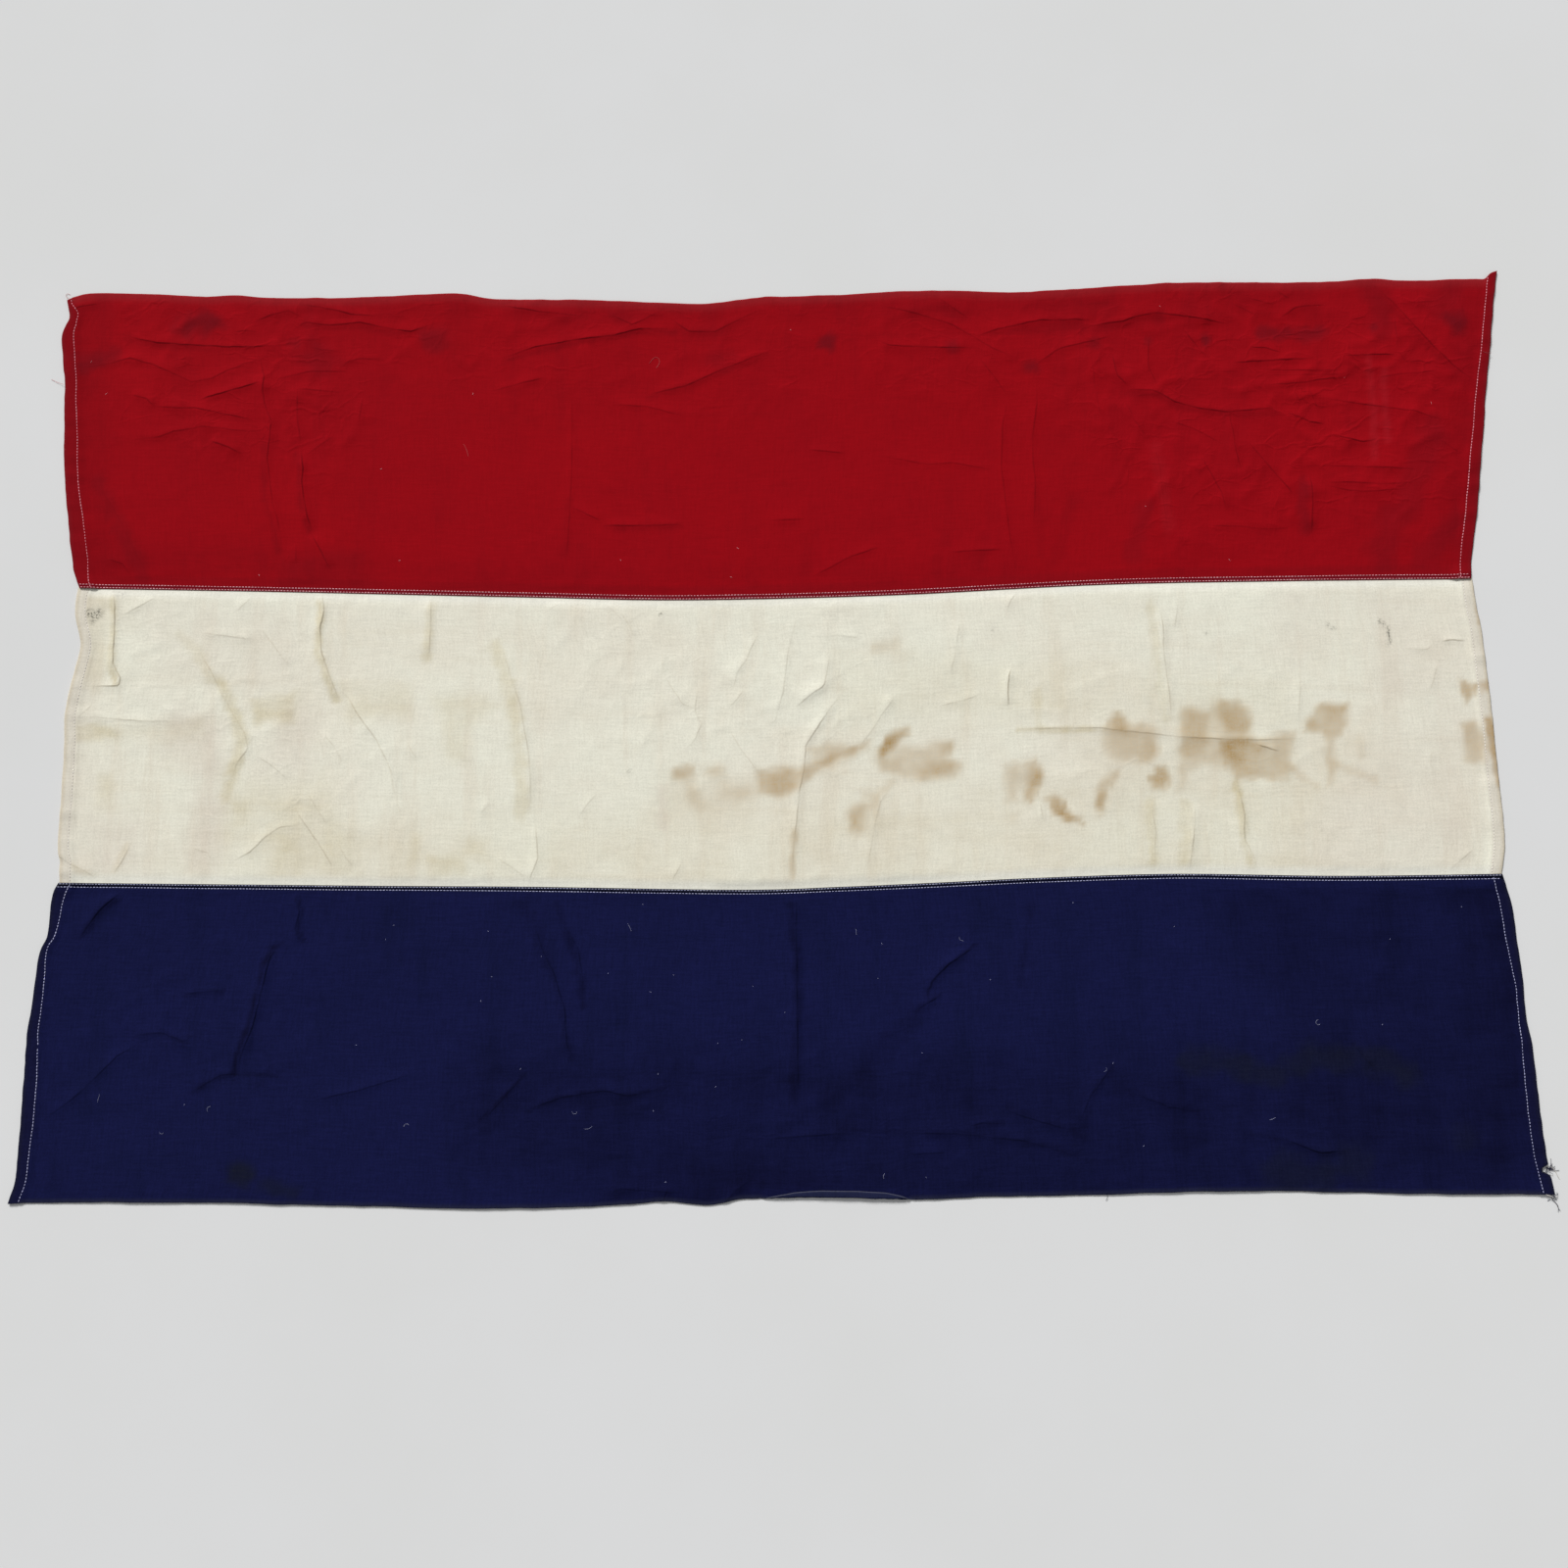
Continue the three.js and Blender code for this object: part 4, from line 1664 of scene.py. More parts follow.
BLUE_CREASES = [
    *creases(
        2.6, 6.0, 0.6,
        ((-505, -226), (-512, -237), (-520, -275), (-526, -304), (-538, -336), (-538, -347)),
        ((-665, -171), (-684, -188), (-701, -213)), ((192, -225), (166, -242), (150, -258), (146, -269)),
    ),
    *creases(
        1.9, 5.5, 0.42,
        ((-490, -173), (-484, -191), (-488, -208), (-481, -221)), ((186, -401), (198, -397), (217, -398)),
        ((156, -274), (134, -287)), ((495, -413), (515, -420), (530, -426), (551, -425)),
        ((14, -172), (16, -374)),
        ((-252, -191), (-239, -230), (-228, -250), (-216, -290), (-214, -321), (-204, -339)),
        ((569, -321), (586, -342)),
    ),
    *creases(
        1.3, 5.0, 0.26,
        ((-254, -385), (-215, -372), (-176, -366), (-151, -371), (-117, -364)),
        ((-643, -312), (-616, -309), (-593, -318), (-582, -309)), ((-595, -271), (-555, -267)),
        ((-581, -366), (-557, -351), (-540, -349)),
        ((-227, -188), (-204, -227), (-199, -256), (-200, -276)), ((-293, -393), (-260, -356)),
        ((108, -407), (175, -408), (242, -415), (286, -428)), ((222, -385), (258, -397), (286, -404)),
        ((329, -340), (305, -372), (294, -397)), ((352, -370), (384, -382), (405, -385)),
        ((-17, -413), (68, -407)), ((125, -428), (164, -426)), ((-175, -469), (-160, -461), (-98, -465)),
        ((-60, -478), (-44, -462), (-30, -452)), ((-118, -476), (-112, -460)),
        ((-734, -398), (-698, -371), (-678, -351), (-659, -332), (-640, -321)),
        ((-612, -286), (-616, -308)), ((-470, -377), (-420, -366), (-364, -349)),
    ),
]

WHITE_STAINS = [
    *patches(0.5, 7, ((-112, -46), (-96, -42), (-88, -46), (-90, -55), (-104, -57), (-112, -54))),
    *patches(0.38, 8, ((-78, -45), (-64, -43), (-58, -50), (-68, -55), (-78, -53))),
    *patches(0.36, 14, ((-58, -60), (-36, -60), (-26, -72), (-44, -80), (-58, -74))),
    *patches(0.3, 10, ((-98, -58), (-90, -60), (-76, -84), (-84, -92), (-94, -84))),
    *patches(0.12, 26, ((-120, -50), (-30, -60), (-30, -105), (-125, -105))),
    *patches(
        0.52, 8,
        ((-26, -46), (0, -42), (20, -44), (40, -33), (64, -24), (89, -20), (88, -27), (66, -35), (44, -47),
         (24, -58), (12, -66), (-6, -74), (-22, -72)),
    ),
    *patches(0.3, 8, ((-10, -52), (10, -54), (16, -62), (0, -72), (-16, -68))),
    *patches(0.3, 6, ((40, -40), (62, -28), (86, -22), (66, -33), (46, -45))),
    *patches(0.35, 8, ((28, -22), (44, -18), (60, -19), (66, -26), (50, -32), (34, -30))),
    *patches(
        0.85, 6,
        ((108, -14), (116, -7), (129, -4), (130, -10), (119, -18), (108, -31), (99, -38), (101, -26)),
    ),
    *patches(
        0.36, 9,
        ((98, -26), (112, -22), (140, -22), (172, -16), (176, -24), (168, -34), (184, -40), (180, -52),
         (162, -57), (140, -54), (116, -54), (100, -48), (94, -38)),
    ),
    *patches(0.3, 9, ((130, -42), (160, -40), (180, -40), (176, -52), (160, -56), (136, -54))),
    *patches(0.24, 7, ((158, -19), (172, -18), (172, -32), (160, -32))),
    *patches(0.25, 8, ((98, -36), (122, -38), (124, -50), (104, -52))),
    *patches(0.2, 6, ((61, -42), (67, -42), (66, -52), (62, -52))),
    *patches(0.36, 7, ((108, -60), (115, -60), (102, -78), (96, -92), (92, -84), (98, -72))),
    *patches(0.26, 7, ((80, -68), (98, -72), (98, -80), (84, -76))),
    *patches(0.5, 8, ((66, -92), (77, -83), (92, -82), (82, -97), (81, -111), (75, -109), (69, -99))),
    *soaks(0.34, 4, ((13, -110), (12, -130), (11, -156))),
    *patches(0.36, 8, ((227, -42), (240, -40), (239, -78), (229, -80))),
    *patches(0.2, 8, ((228, -90), (238, -90), (236, -101), (229, -101))),
    *patches(
        0.64, 7,
        ((247, -38), (256, -35), (264, -45), (266, -54), (257, -64), (254, -82), (249, -82), (248, -64)),
    ),
    *patches(0.2, 8, ((238, -38), (250, -36), (248, -60), (238, -62))),
    *patches(
        0.8, 6,
        ((266, -77), (273, -73), (283, -76), (287, -87), (294, -93), (304, -99), (286, -97), (274, -92)),
    ),
    *patches(
        0.5, 7,
        ((318, -64), (328, -56), (342, -48), (336, -60), (328, -70), (325, -88), (321, -95), (316, -84)),
    ),
    *patches(0.4, 5, ((318, -70), (326, -68), (324, -86), (319, -86))),
    *patches(
        0.42, 8,
        ((327, -2), (340, 12), (347, 9), (350, 1), (365, 0), (381, -7), (381, -30), (370, -42), (352, -38),
         (334, -38), (329, -22)),
    ),
    *patches(0.4, 6, ((331, 2), (340, 12), (349, 8), (350, -6), (336, -7))),
    *patches(0.24, 7, ((368, -18), (381, -18), (380, -32), (370, -34))),
    *patches(0.68, 6, ((380, -44), (390, -41), (394, -54), (388, -67), (374, -67), (370, -58), (378, -52))),
    *patches(
        0.36, 8,
        ((406, 14), (413, 19), (434, 16), (440, 24), (460, 25), (472, 20), (479, 4), (475, -10),
         (493, -13), (523, -9), (515, -30), (517, -44), (501, -56), (460, -56), (448, -43), (428, -40),
         (414, -48), (407, -66), (400, -68), (402, -53), (404, -32), (404, -7)),
    ),
    *patches(0.36, 7, ((447, 22), (460, 25), (472, 20), (479, 4), (474, -8), (450, -8))),
    *patches(0.6, 8, ((447, -16), (478, -16), (490, -24), (482, -36), (468, -40), (452, -38))),
    *patches(0.32, 8, ((408, 14), (434, 12), (432, -33), (410, -33))),
    *patches(
        0.6, 6,
        ((533, -6), (531, 1), (539, 9), (549, 20), (576, 22), (571, -7), (557, -17), (546, -9)),
    ),
    *patches(0.2, 6, ((552, 18), (572, 19), (570, 2), (554, 0))),
    *patches(0.34, 6, ((551, -16), (561, -16), (560, -64), (552, -64))),
    *soaks(0.18, 5, ((561, -40), (582, -50), (600, -56)), ((514, -43), (530, -57), (540, -62))),
    *soaks(0.12, 5, ((586, -12), (588, -32))),
    *patches(0.3, 6, ((484, -13), (520, -9), (522, -27), (514, -55), (464, -55), (451, -40), (479, -35))),
    *patches(0.24, 10, ((70, -88), (96, -84), (92, -116), (74, -116))),
    *patches(0.8, 4, ((691, 48), (709, 42), (705, 34), (698, 21), (692, 34))),
    *patches(0.6, 4, ((711, 44), (724, 48), (724, 32), (712, 33))),
    *patches(0.46, 6, ((692, 3), (706, 4), (712, -10), (713, -40), (694, -40))),
    *soaks(0.66, 5, ((719, 4), (721, -14), (722, -28))),
    *soaks(0.45, 4, ((723, -34), (726, -60))),
    *soaks(0.3, 3, ((713, 120), (714, 104))),
    *patches(0.18, 5, ((90, 83), (104, 89), (119, 88), (120, 79), (104, 76), (91, 76))),
    *patches(0.1, 40, ((300, -10), (600, 10), (620, -70), (320, -80))),
]
# Soil on the white, and painted shade where the soaks follow creases, folds and pressed steps.
WHITE_SOIL_AND_SHADE = [
    *patches(0.5, 6, ((-722, 2), (-700, 1), (-676, -9), (-700, -16), (-718, -18))),
    *patches(0.34, 14, ((-730, 142), (-688, 142), (-686, 60), (-700, 36), (-728, 60))),
    *patches(0.26, 10, ((-700, 0), (-640, -2), (-590, 6), (-584, -10), (-620, -16), (-690, -14))),
    # Painted shade in a fold, over brownish soil.
    *soaks(
        0.46, 7,
        ((-570, 40), (-562, 22), (-556, 8), (-549, -14), (-548, -28), (-556, -48), (-562, -74)),
    ),
    *soaks(0.24, 7, ((-618, 94), (-600, 80), (-582, 48))),
    *patches(0.46, 8, ((-540, 24), (-520, 28), (-494, 32), (-494, 2), (-536, 0))),
    *patches(0.26, 14, ((-450, 41), (-378, 41), (-376, 8), (-436, 4))),
    *patches(0.3, 20, ((-512, -112), (-440, -112), (-430, -156), (-516, -156))),
    *patches(0.3, 8, ((-550, -78), (-538, -78), (-538, -100), (-550, -100))),
    *patches(0.26, 10, ((-690, -52), (-676, -52), (-676, -86), (-690, -86))),
    *patches(0.3, 30, ((-560, -60), (-470, -60), (-440, -110), (-560, -110))),
    *patches(
        0.26, 12,
        ((-352, 29), (-300, 29), (-290, 16), (-316, 4), (-320, -38), (-338, -36), (-346, 4)),
    ),
    # Painted shade along creases.
    *soaks(0.36, 8, ((-292, 84), (-281, 45), (-271, 5), (-266, -30), (-263, -60), (-262, -92))),
    *soaks(0.34, 5, ((-358, 134), (-360, 100), (-362, 70))),
    *patches(0.4, 10, ((-355, -134), (-322, -132), (-318, -150), (-352, -155))),
    *patches(
        0.34, 10,
        ((-313, -118), (-298, -118), (-298, -134), (-316, -132)),
        ((-373, -116), (-362, -116), (-362, -140), (-372, -140)),
    ),
    # Painted shade at the foot of two wide pressed steps.
    *soaks(
        0.46, 4,
        ((-688, 148), (-684, 110), (-685, 63), (-679, 42)),
        ((-477, 150), (-472, 110), (-474, 76), (-464, 50), (-453, 25)),
    ),
    # Painted shade along creases.
    *soaks(0.2, 5, ((378, 128), (382, 90), (386, 50), (391, 6))),
    *soaks(0.34, 7, ((408, -82), (409, -120), (405, -152))),
    *soaks(0.46, 5, ((460, -60), (465, -96), (466, -120), (474, -148))),
    *soaks(0.3, 5, ((372, -80), (374, -150)), ((260, 34), (261, -2))),
    *soaks(0.4, 3, ((240, -5), (300, -6), (330, -4))),
    *patches(0.15, 50, ((40, -76), (540, -60), (560, -170), (-560, -170), (-560, -110))),
    # Painted shade along creases.
    *soaks(0.3, 4, ((-735, -130), (-716, -143), (-700, -151), (-688, -157)), ((-660, -124), (-672, -150))),
    *patches(0.16, 30, ((60, 70), (260, 70), (400, 50), (520, 50), (520, 4), (60, 4))),
]
WHITE_TINGE = [
    *patches(0.26, 20, ((-740, 150), (-700, 150), (-694, 40), (-704, -20), (-708, -160), (-740, -160))),
    *patches(
        0.16, 26,
        ((-650, 130), (-540, 130), (-500, 110), (-500, 50), (-560, 50), (-620, 60), (-650, 90)),
    ),
    *patches(
        0.3, 18,
        ((-610, 20), (-570, 0), (-562, -60), (-570, -150), (-596, -150), (-592, -60), (-640, -10)),
    ),
    *patches(0.26, 20, ((-706, -92), (-650, -100), (-640, -150), (-710, -156))),
    *patches(0.24, 20, ((-500, 20), (-470, 10), (-480, -50), (-530, -50))),
    *patches(0.16, 26, ((500, 140), (560, 140), (556, 70), (506, 74))),
    *patches(0.26, 50, ((600, 130), (700, 120), (700, 0), (600, 10))),
    *patches(0.18, 30, ((600, 0), (700, 0), (700, -150), (520, -150), (560, -60))),
    *soaks(0.24, 7, ((-122, -66), (-120, -106))),
]
# Darker marks on the red: soil, painted shade over soft undulations, and painted shade down soft folds and
# along creases.
RED_SOIL_AND_SHADE = [
    *patches(
        0.42, 34,
        ((-770, 470), (-722, 470), (-705, 300), (-690, 130), (-770, 130)),
        ((770, 490), (712, 490), (698, 300), (672, 130), (770, 130)),
    ),
    *patches(0.22, 22, ((-700, 190), (-560, 184), (-430, 174), (-430, 146), (-700, 150))),
    *patches(0.2, 18, ((-430, 174), (-150, 160), (0, 165), (300, 170), (300, 146), (-430, 146))),
    *patches(0.35, 9, ((612, 470), (636, 470), (640, 440), (630, 420), (614, 440))),
    *patches(0.3, 9, ((686, 468), (706, 468), (706, 437), (690, 437))),
    *patches(0.26, 6, ((-184, 438), (-122, 441), (-150, 426), (-166, 422))),
    *patches(0.24, 7, ((-104, 420), (-60, 424), (-30, 436), (-60, 414), (-82, 410))),
    *patches(0.22, 7, ((110, 450), (165, 452), (190, 432), (180, 426), (140, 434))),
    *patches(0.24, 6, ((300, 442), (345, 442), (344, 452), (310, 452))),
    *patches(
        0.3, 5,
        ((208, 411), (240, 420), (280, 427), (345, 425), (400, 434), (400, 418), (330, 416), (240, 412)),
    ),
    # The soaks from here on are painted shade down soft folds and along creases.
    *soaks(0.2, 5, ((262, 250), (266, 210), (268, 172))),
    *soaks(0.22, 8, ((303, 236), (292, 205), (284, 172))),
    *soaks(0.18, 8, ((166, 196), (158, 160)), ((206, 190), (200, 165)), ((25, 195), (25, 158))),
    *soaks(0.2, 5, ((-222, 232), (-224, 176))),
    *soaks(0.45, 3, ((-502, 284), (-499, 262), (-500, 248), (-497, 232), (-493, 215), (-487, 201))),
    *soaks(0.3, 4, ((-538, 300), (-536, 254), (-532, 230), (-524, 205), (-519, 180))),
    *soaks(
        0.2, 3.5,
        ((-686, 408), (-654, 400), (-600, 396)), ((-500, 421), (-437, 420), (-403, 413), (-366, 420)),
    ),
    *soaks(0.3, 3.5, ((-735, 380), (-697, 385)), ((-290, 383), (-216, 403), (-147, 415), (-113, 415))),
    *soaks(0.24, 3.5, ((-138, 344), (-64, 370), (-15, 390)), ((-183, 205), (-102, 206))),
    *soaks(0.24, 4, ((358, 348), (390, 347), (411, 335), (453, 327), (515, 328))),
    *soaks(0.3, 4, ((540, 258), (544, 236), (543, 204))),
    *soaks(0.24, 4, ((640, 440), (662, 414), (685, 388), (704, 370))),
    *patches(
        0.22, 12,
        ((-560, 452), (-200, 450), (100, 456), (560, 468), (560, 432), (100, 430), (-560, 430)),
    ),
]
# Darker marks on the blue: broad patches that darken it unevenly, and painted shade along creases and folds.
BLUE_SOIL_AND_SHADE = [
    *patches(0.8, 50, ((780, -140), (690, -140), (700, -300), (690, -440), (780, -440))),
    *patches(0.42, 50, ((-300, -330), (700, -330), (700, -490), (-100, -490), (-340, -420))),
    *patches(0.4, 60, ((420, -140), (700, -140), (700, -420), (540, -420))),
    *patches(0.5, 16, ((-120, -436), (20, -434), (60, -460), (-60, -478), (-180, -474), (-160, -458))),
    # The soaks from here on are painted shade along creases and folds.
    *soaks(0.9, 3, ((-508, -226), (-516, -240), (-524, -275), (-530, -304), (-542, -336), (-542, -350))),
    *soaks(
        0.8, 2.5,
        ((-487, -172), (-481, -190), (-485, -208), (-478, -221)), ((-511, -226), (-500, -222)),
    ),
    *soaks(0.8, 2, ((193, -223), (178, -235), (163, -245), (153, -256), (147, -266), (146, -273))),
    *soaks(0.6, 2.5, ((156, -275), (140, -281), (135, -288))),
    *soaks(0.55, 5, ((11, -174), (11, -215), (16, -240), (16, -290), (13, -345), (12, -376))),
    *soaks(0.4, 9, ((-262, -178), (-246, -210), (-234, -240))),
    *soaks(0.5, 4, ((-226, -182), (-217, -205), (-206, -235), (-201, -262), (-198, -284))),
    *soaks(0.4, 3, ((-228, -250), (-218, -290), (-216, -312), (-208, -336))),
    *soaks(0.7, 2, ((-256, -352), (-266, -364), (-284, -382), (-298, -395))),
    *soaks(
        0.6, 2,
        ((-254, -389), (-222, -374), (-186, -367), (-165, -367)),
        ((-160, -373), (-140, -369), (-118, -365)),
    ),
    *soaks(0.35, 12, ((134, -296), (108, -318), (76, -350), (50, -374))),
    *soaks(
        0.5, 3,
        ((192, -402), (203, -398), (222, -398)), ((225, -383), (265, -397), (288, -404), (298, -413)),
    ),
    *soaks(
        0.45, 3,
        ((60, -404), (150, -406), (210, -411), (262, -420), (292, -430)), ((300, -437), (330, -435)),
    ),
    *soaks(0.4, 4, ((327, -345), (311, -365), (305, -388), (297, -402))),
    *soaks(0.6, 2.5, ((480, -412), (515, -420), (530, -427), (556, -426)), ((569, -321), (590, -346))),
    *soaks(0.4, 4, ((342, -366), (384, -380), (412, -388)), ((250, -184), (244, -225), (237, -262))),
    *soaks(0.5, 4, ((-665, -174), (-684, -190), (-702, -216))),
    *soaks(0.4, 3, ((-643, -314), (-616, -311), (-593, -320)), ((-595, -273), (-555, -269))),
    *soaks(0.5, 3, ((-582, -368), (-558, -353), (-540, -350), (-500, -352))),
]
WHITE_SOOT = [
    *soaks(0.9, 5, ((-709, 114), (-701, 114))),
    *soaks(0.7, 3, ((-706, 105),)),
    *soaks(0.6, 5, ((-684, 137), (-676, 136))),
    *soaks(0.7, 1.8, ((558, 103), (569, 97))),
    *soaks(0.8, 1.9, ((613, 107), (619, 102), (622, 95), (621, 84))),
    *soaks(0.5, 1.8, ((435, 94),)),
    *soaks(0.8, 1.8, ((-154, -47),), ((-123, 114),), ((-169, -131),), ((217, 98),)),
]
# Dark marks on the red: stains, and weak wide soaks of painted shade over soft folds and creases.
RED_STAINS_AND_SHADE = [
    *soaks(0.55, 13, ((-622, 421), (-598, 424))),
    *soaks(0.4, 11, ((-732, 381), (-716, 386), (-700, 390))),
    *soaks(0.3, 7, ((-508, 404),)),
    *soaks(0.24, 15, ((-495, 390), (-478, 382)), ((-67, 385),)),
    *soaks(0.4, 14, ((-366, 407), (-362, 406))),
    *soaks(0.65, 10, ((49, 404),)),
    *soaks(0.35, 8, ((178, 400),), ((327, 401),)),
    *soaks(0.45, 8, ((258, 378), (265, 378))),
    *soaks(0.4, 5, ((384, 405),)),
    *soaks(0.6, 6, ((443, 405),)),
    *soaks(0.5, 8, ((503, 414), (526, 413))),
    *soaks(0.5, 10, ((548, 411), (562, 416))),
    *soaks(0.5, 6, ((619, 420),)),
    *soaks(0.6, 11, ((703, 430), (708, 420))),
    # The soaks from here on are painted shade over soft folds and creases.
    *soaks(0.3, 8, ((539, 250), (539, 206))),
    *soaks(0.2, 14, ((618, 462), (628, 440), (632, 415))),
    *soaks(0.2, 20, ((690, 440), (700, 450))),
    *soaks(0.24, 18, ((677, 310), (670, 278), (653, 246), (634, 214), (614, 176))),
    *soaks(0.24, 14, ((698, 213), (679, 193), (658, 166))),
    *soaks(0.22, 13, ((375, 224), (369, 198), (359, 174))),
    *soaks(0.2, 9, ((-707, 253), (-690, 220), (-672, 186), (-656, 155))),
    *soaks(0.16, 22, ((-500, 160), (-440, 160))),
]
# Lighter marks on the red: lighter streaks, and a painted highlight on the lit side of a crease.
RED_TINGE_AND_HIGHLIGHT = [
    *soaks(0.34, 5, ((613, 385), (616, 330), (614, 280)), ((628, 372), (628, 300))),
    # Painted highlight on the lit side of a crease.
    *soaks(0.2, 8, ((388, 290), (394, 240), (398, 205))),
]
BLUE_STAINS = [
    *soaks(0.9, 12, ((-537, -445), (-531, -447))),
    *soaks(0.55, 10, ((-510, -458), (-480, -464))),
    *soaks(0.55, 14, ((405, -337), (450, -342), (489, -352), (529, -334), (594, -337), (619, -352))),
    *soaks(0.45, 20, ((497, -446), (530, -446), (563, -441))),
    *soaks(0.3, 12, ((668, -411), (678, -411))),
]
RED_CRUSHED = [
    *soaks(0.9, 110, ((460, 390), (620, 380))),
    *soaks(0.6, 120, ((420, 300), (600, 290))),
    *soaks(0.7, 90, ((-640, 380), (-520, 360))),
    *soaks(0.4, 80, ((-480, 400), (-200, 420), (60, 420))),
    *soaks(0.5, 70, ((180, 400), (330, 410))),
]
WHITE_CRUSHED = [
    *soaks(0.3, 90, ((-640, 40), (-500, -20))),
    *soaks(0.22, 90, ((-140, 60), (60, 20))),
    *soaks(0.2, 90, ((300, -10), (500, -20))),
]
BLUE_CRUSHED = [
    *soaks(0.35, 80, ((-620, -300), (-500, -340))),
    *soaks(0.4, 80, ((-250, -380), (300, -410))),
    *soaks(0.3, 80, ((330, -330), (560, -400))),
]

BLUE_LINT = (
    (-173, -251), (-107, -253), (-130, -270), (-259, -346), (-122, -351), (-66, -363), (-63, -320),
    (-40, -317), (-423, -322), (329, -339), (357, -421), (597, -302), (609, -217), (682, -185),
    (-293, -209), (-240, -234), (-290, -254), (-29, -264), (-300, -278), (3, -290), (-127, -386),
    (-139, -182),
    (-115, -455), (101, -222), (96, -256), (208, -258), (140, -330), (292, -181), (393, -205), (143, -451),
    (-591, -380), (-388, -203), (-396, -218),
)
BLUE_HAIRS = (
    (-202, -387), (-368, -400), (101, -452), (482, -395), (534, -297), (-154, -202), (-187, -401),
    (75, -213), (178, -215), (322, -344), (-675, -370), (-567, -387), (-610, -407),
)
RED_LINT = (
    (-720, 384), (-704, 347), (-537, 154), (-414, 268), (-394, 170), (-321, 347), (10, 417), (-166, 171),
    (-53, 153), (-46, 184), (397, 442), (375, 228), (586, 365), (676, 337), (460, 172),
)
RED_HAIRS: list[Path] = [
    [(-138, 381), (-134, 388), (-128, 387), (-127, 380), (-131, 376)],
    [(-330, 294), (-326, 288), (-325, 281)],
    [(-762, 364), (-755, 360), (-748, 358)],
    [(732, 393), (737, 391), (741, 392)],
    [(-742, 449), (-748, 451), (-752, 455), (-750, 458), (-747, 456)],
]
CORNER_THREADS: list[Path] = [
    [(751, -467), (754, -468), (759, -470), (763, -469)],
    [(757, -440), (762, -443), (764, -449), (766, -452)],
]
CORNER_TAIL: list[Path] = [
    [(755, -466), (758, -473), (761, -475), (764, -479), (763, -484)],
    [(756, -466), (757, -472), (762, -476), (763, -480), (765, -483)],
    [(320, -465), (321, -470), (319, -473)],
]


def red_stripe() -> Stripe:
    """The top stripe, of red cotton, whose lower edge is felled over the white one."""
    return Stripe(
        name="red_stripe",
        lower=Edge(RED_SEAM),
        upper=Edge((
            (-749, 450), (-724, 457), (-656, 456), (-609, 453), (-573, 455), (-528, 452), (-435, 453),
            (-346, 457), (-299, 451), (-217, 450), (-133, 447), (-75, 446), (-23, 453), (23, 454),
            (154, 460), (251, 459), (402, 468), (504, 469), (573, 470), (621, 473), (659, 471), (722, 473),
            (737, 472.5), (741, 475), (745, 479), (752, 482),
        )),
        left=Edge((
            (-722, 141), (-727, 154), (-734, 200), (-743, 273), (-747, 357), (-751, 390), (-753, 410),
            (-749, 422), (-745, 431), (-747, 441), (-749, 450),
        )),
        right=Edge((
            (708, 151), (712, 189), (718, 222), (724, 273), (730, 318), (734, 357), (741, 406), (746, 448),
            (752, 482),
        )),
        sewn=Side.LOWER,
        laps_over=True,
        flat=(0.325, 1.525),
        finish=RED_COTTON,
        creases=RED_CREASES,
        stains=RED_STAINS_AND_SHADE,
        soil=RED_SOIL_AND_SHADE,
        tinged=RED_TINGE_AND_HIGHLIGHT,
        soot=[],
        crushed=RED_CRUSHED,
        seed=11,
        edge_fade=12.0,
        left_hem=Hem(
            ((0.0, 14.4), (0.1, 16.8), (0.27, 15.2), (0.36, 13.4), (0.5, 14.2), (0.63, 12.4), (0.89, 12.8),
             (0.95, 8.2), (0.98, 4.4)),
            nicks=((0.02, 2.5, 11.0),),
        ),
        right_hem=Hem((
            (0.0, 11.1), (0.1, 12.4), (0.36, 13.1), (0.54, 12.4), (0.72, 11.1), (0.89, 10.3), (1.0, 10.9),
        )),
    )


def white_stripe() -> Stripe:
    """The middle stripe, of cream cotton, whose long edges lie under the other two."""
    return Stripe(
        name="white_stripe",
        lower=Edge(shifted(BLUE_SEAM, -LAP)),
        upper=Edge(shifted(RED_SEAM, LAP)),
        left=Edge((
            (-726, -167), (-726, -142), (-729, -128), (-729, -109), (-728, -58), (-728, -19), (-729, 9),
            (-725, 38), (-721, 58), (-717, 84), (-723, 110), (-724, 130), (-721, 147),
        )),
        right=Edge((
            (723, -158), (726, -140), (729, -119), (727, -72), (725, -40), (722, 24), (717, 90), (712, 125),
            (710, 149), (707, 157),
        )),
        sewn=Side.BOTH,
        laps_over=False,
        flat=(0.33, 1.49),
        finish=WHITE_COTTON,
        creases=WHITE_CREASES,
        stains=WHITE_STAINS,
        soil=WHITE_SOIL_AND_SHADE,
        tinged=WHITE_TINGE,
        soot=WHITE_SOOT,
        crushed=WHITE_CRUSHED,
        seed=37,
    )


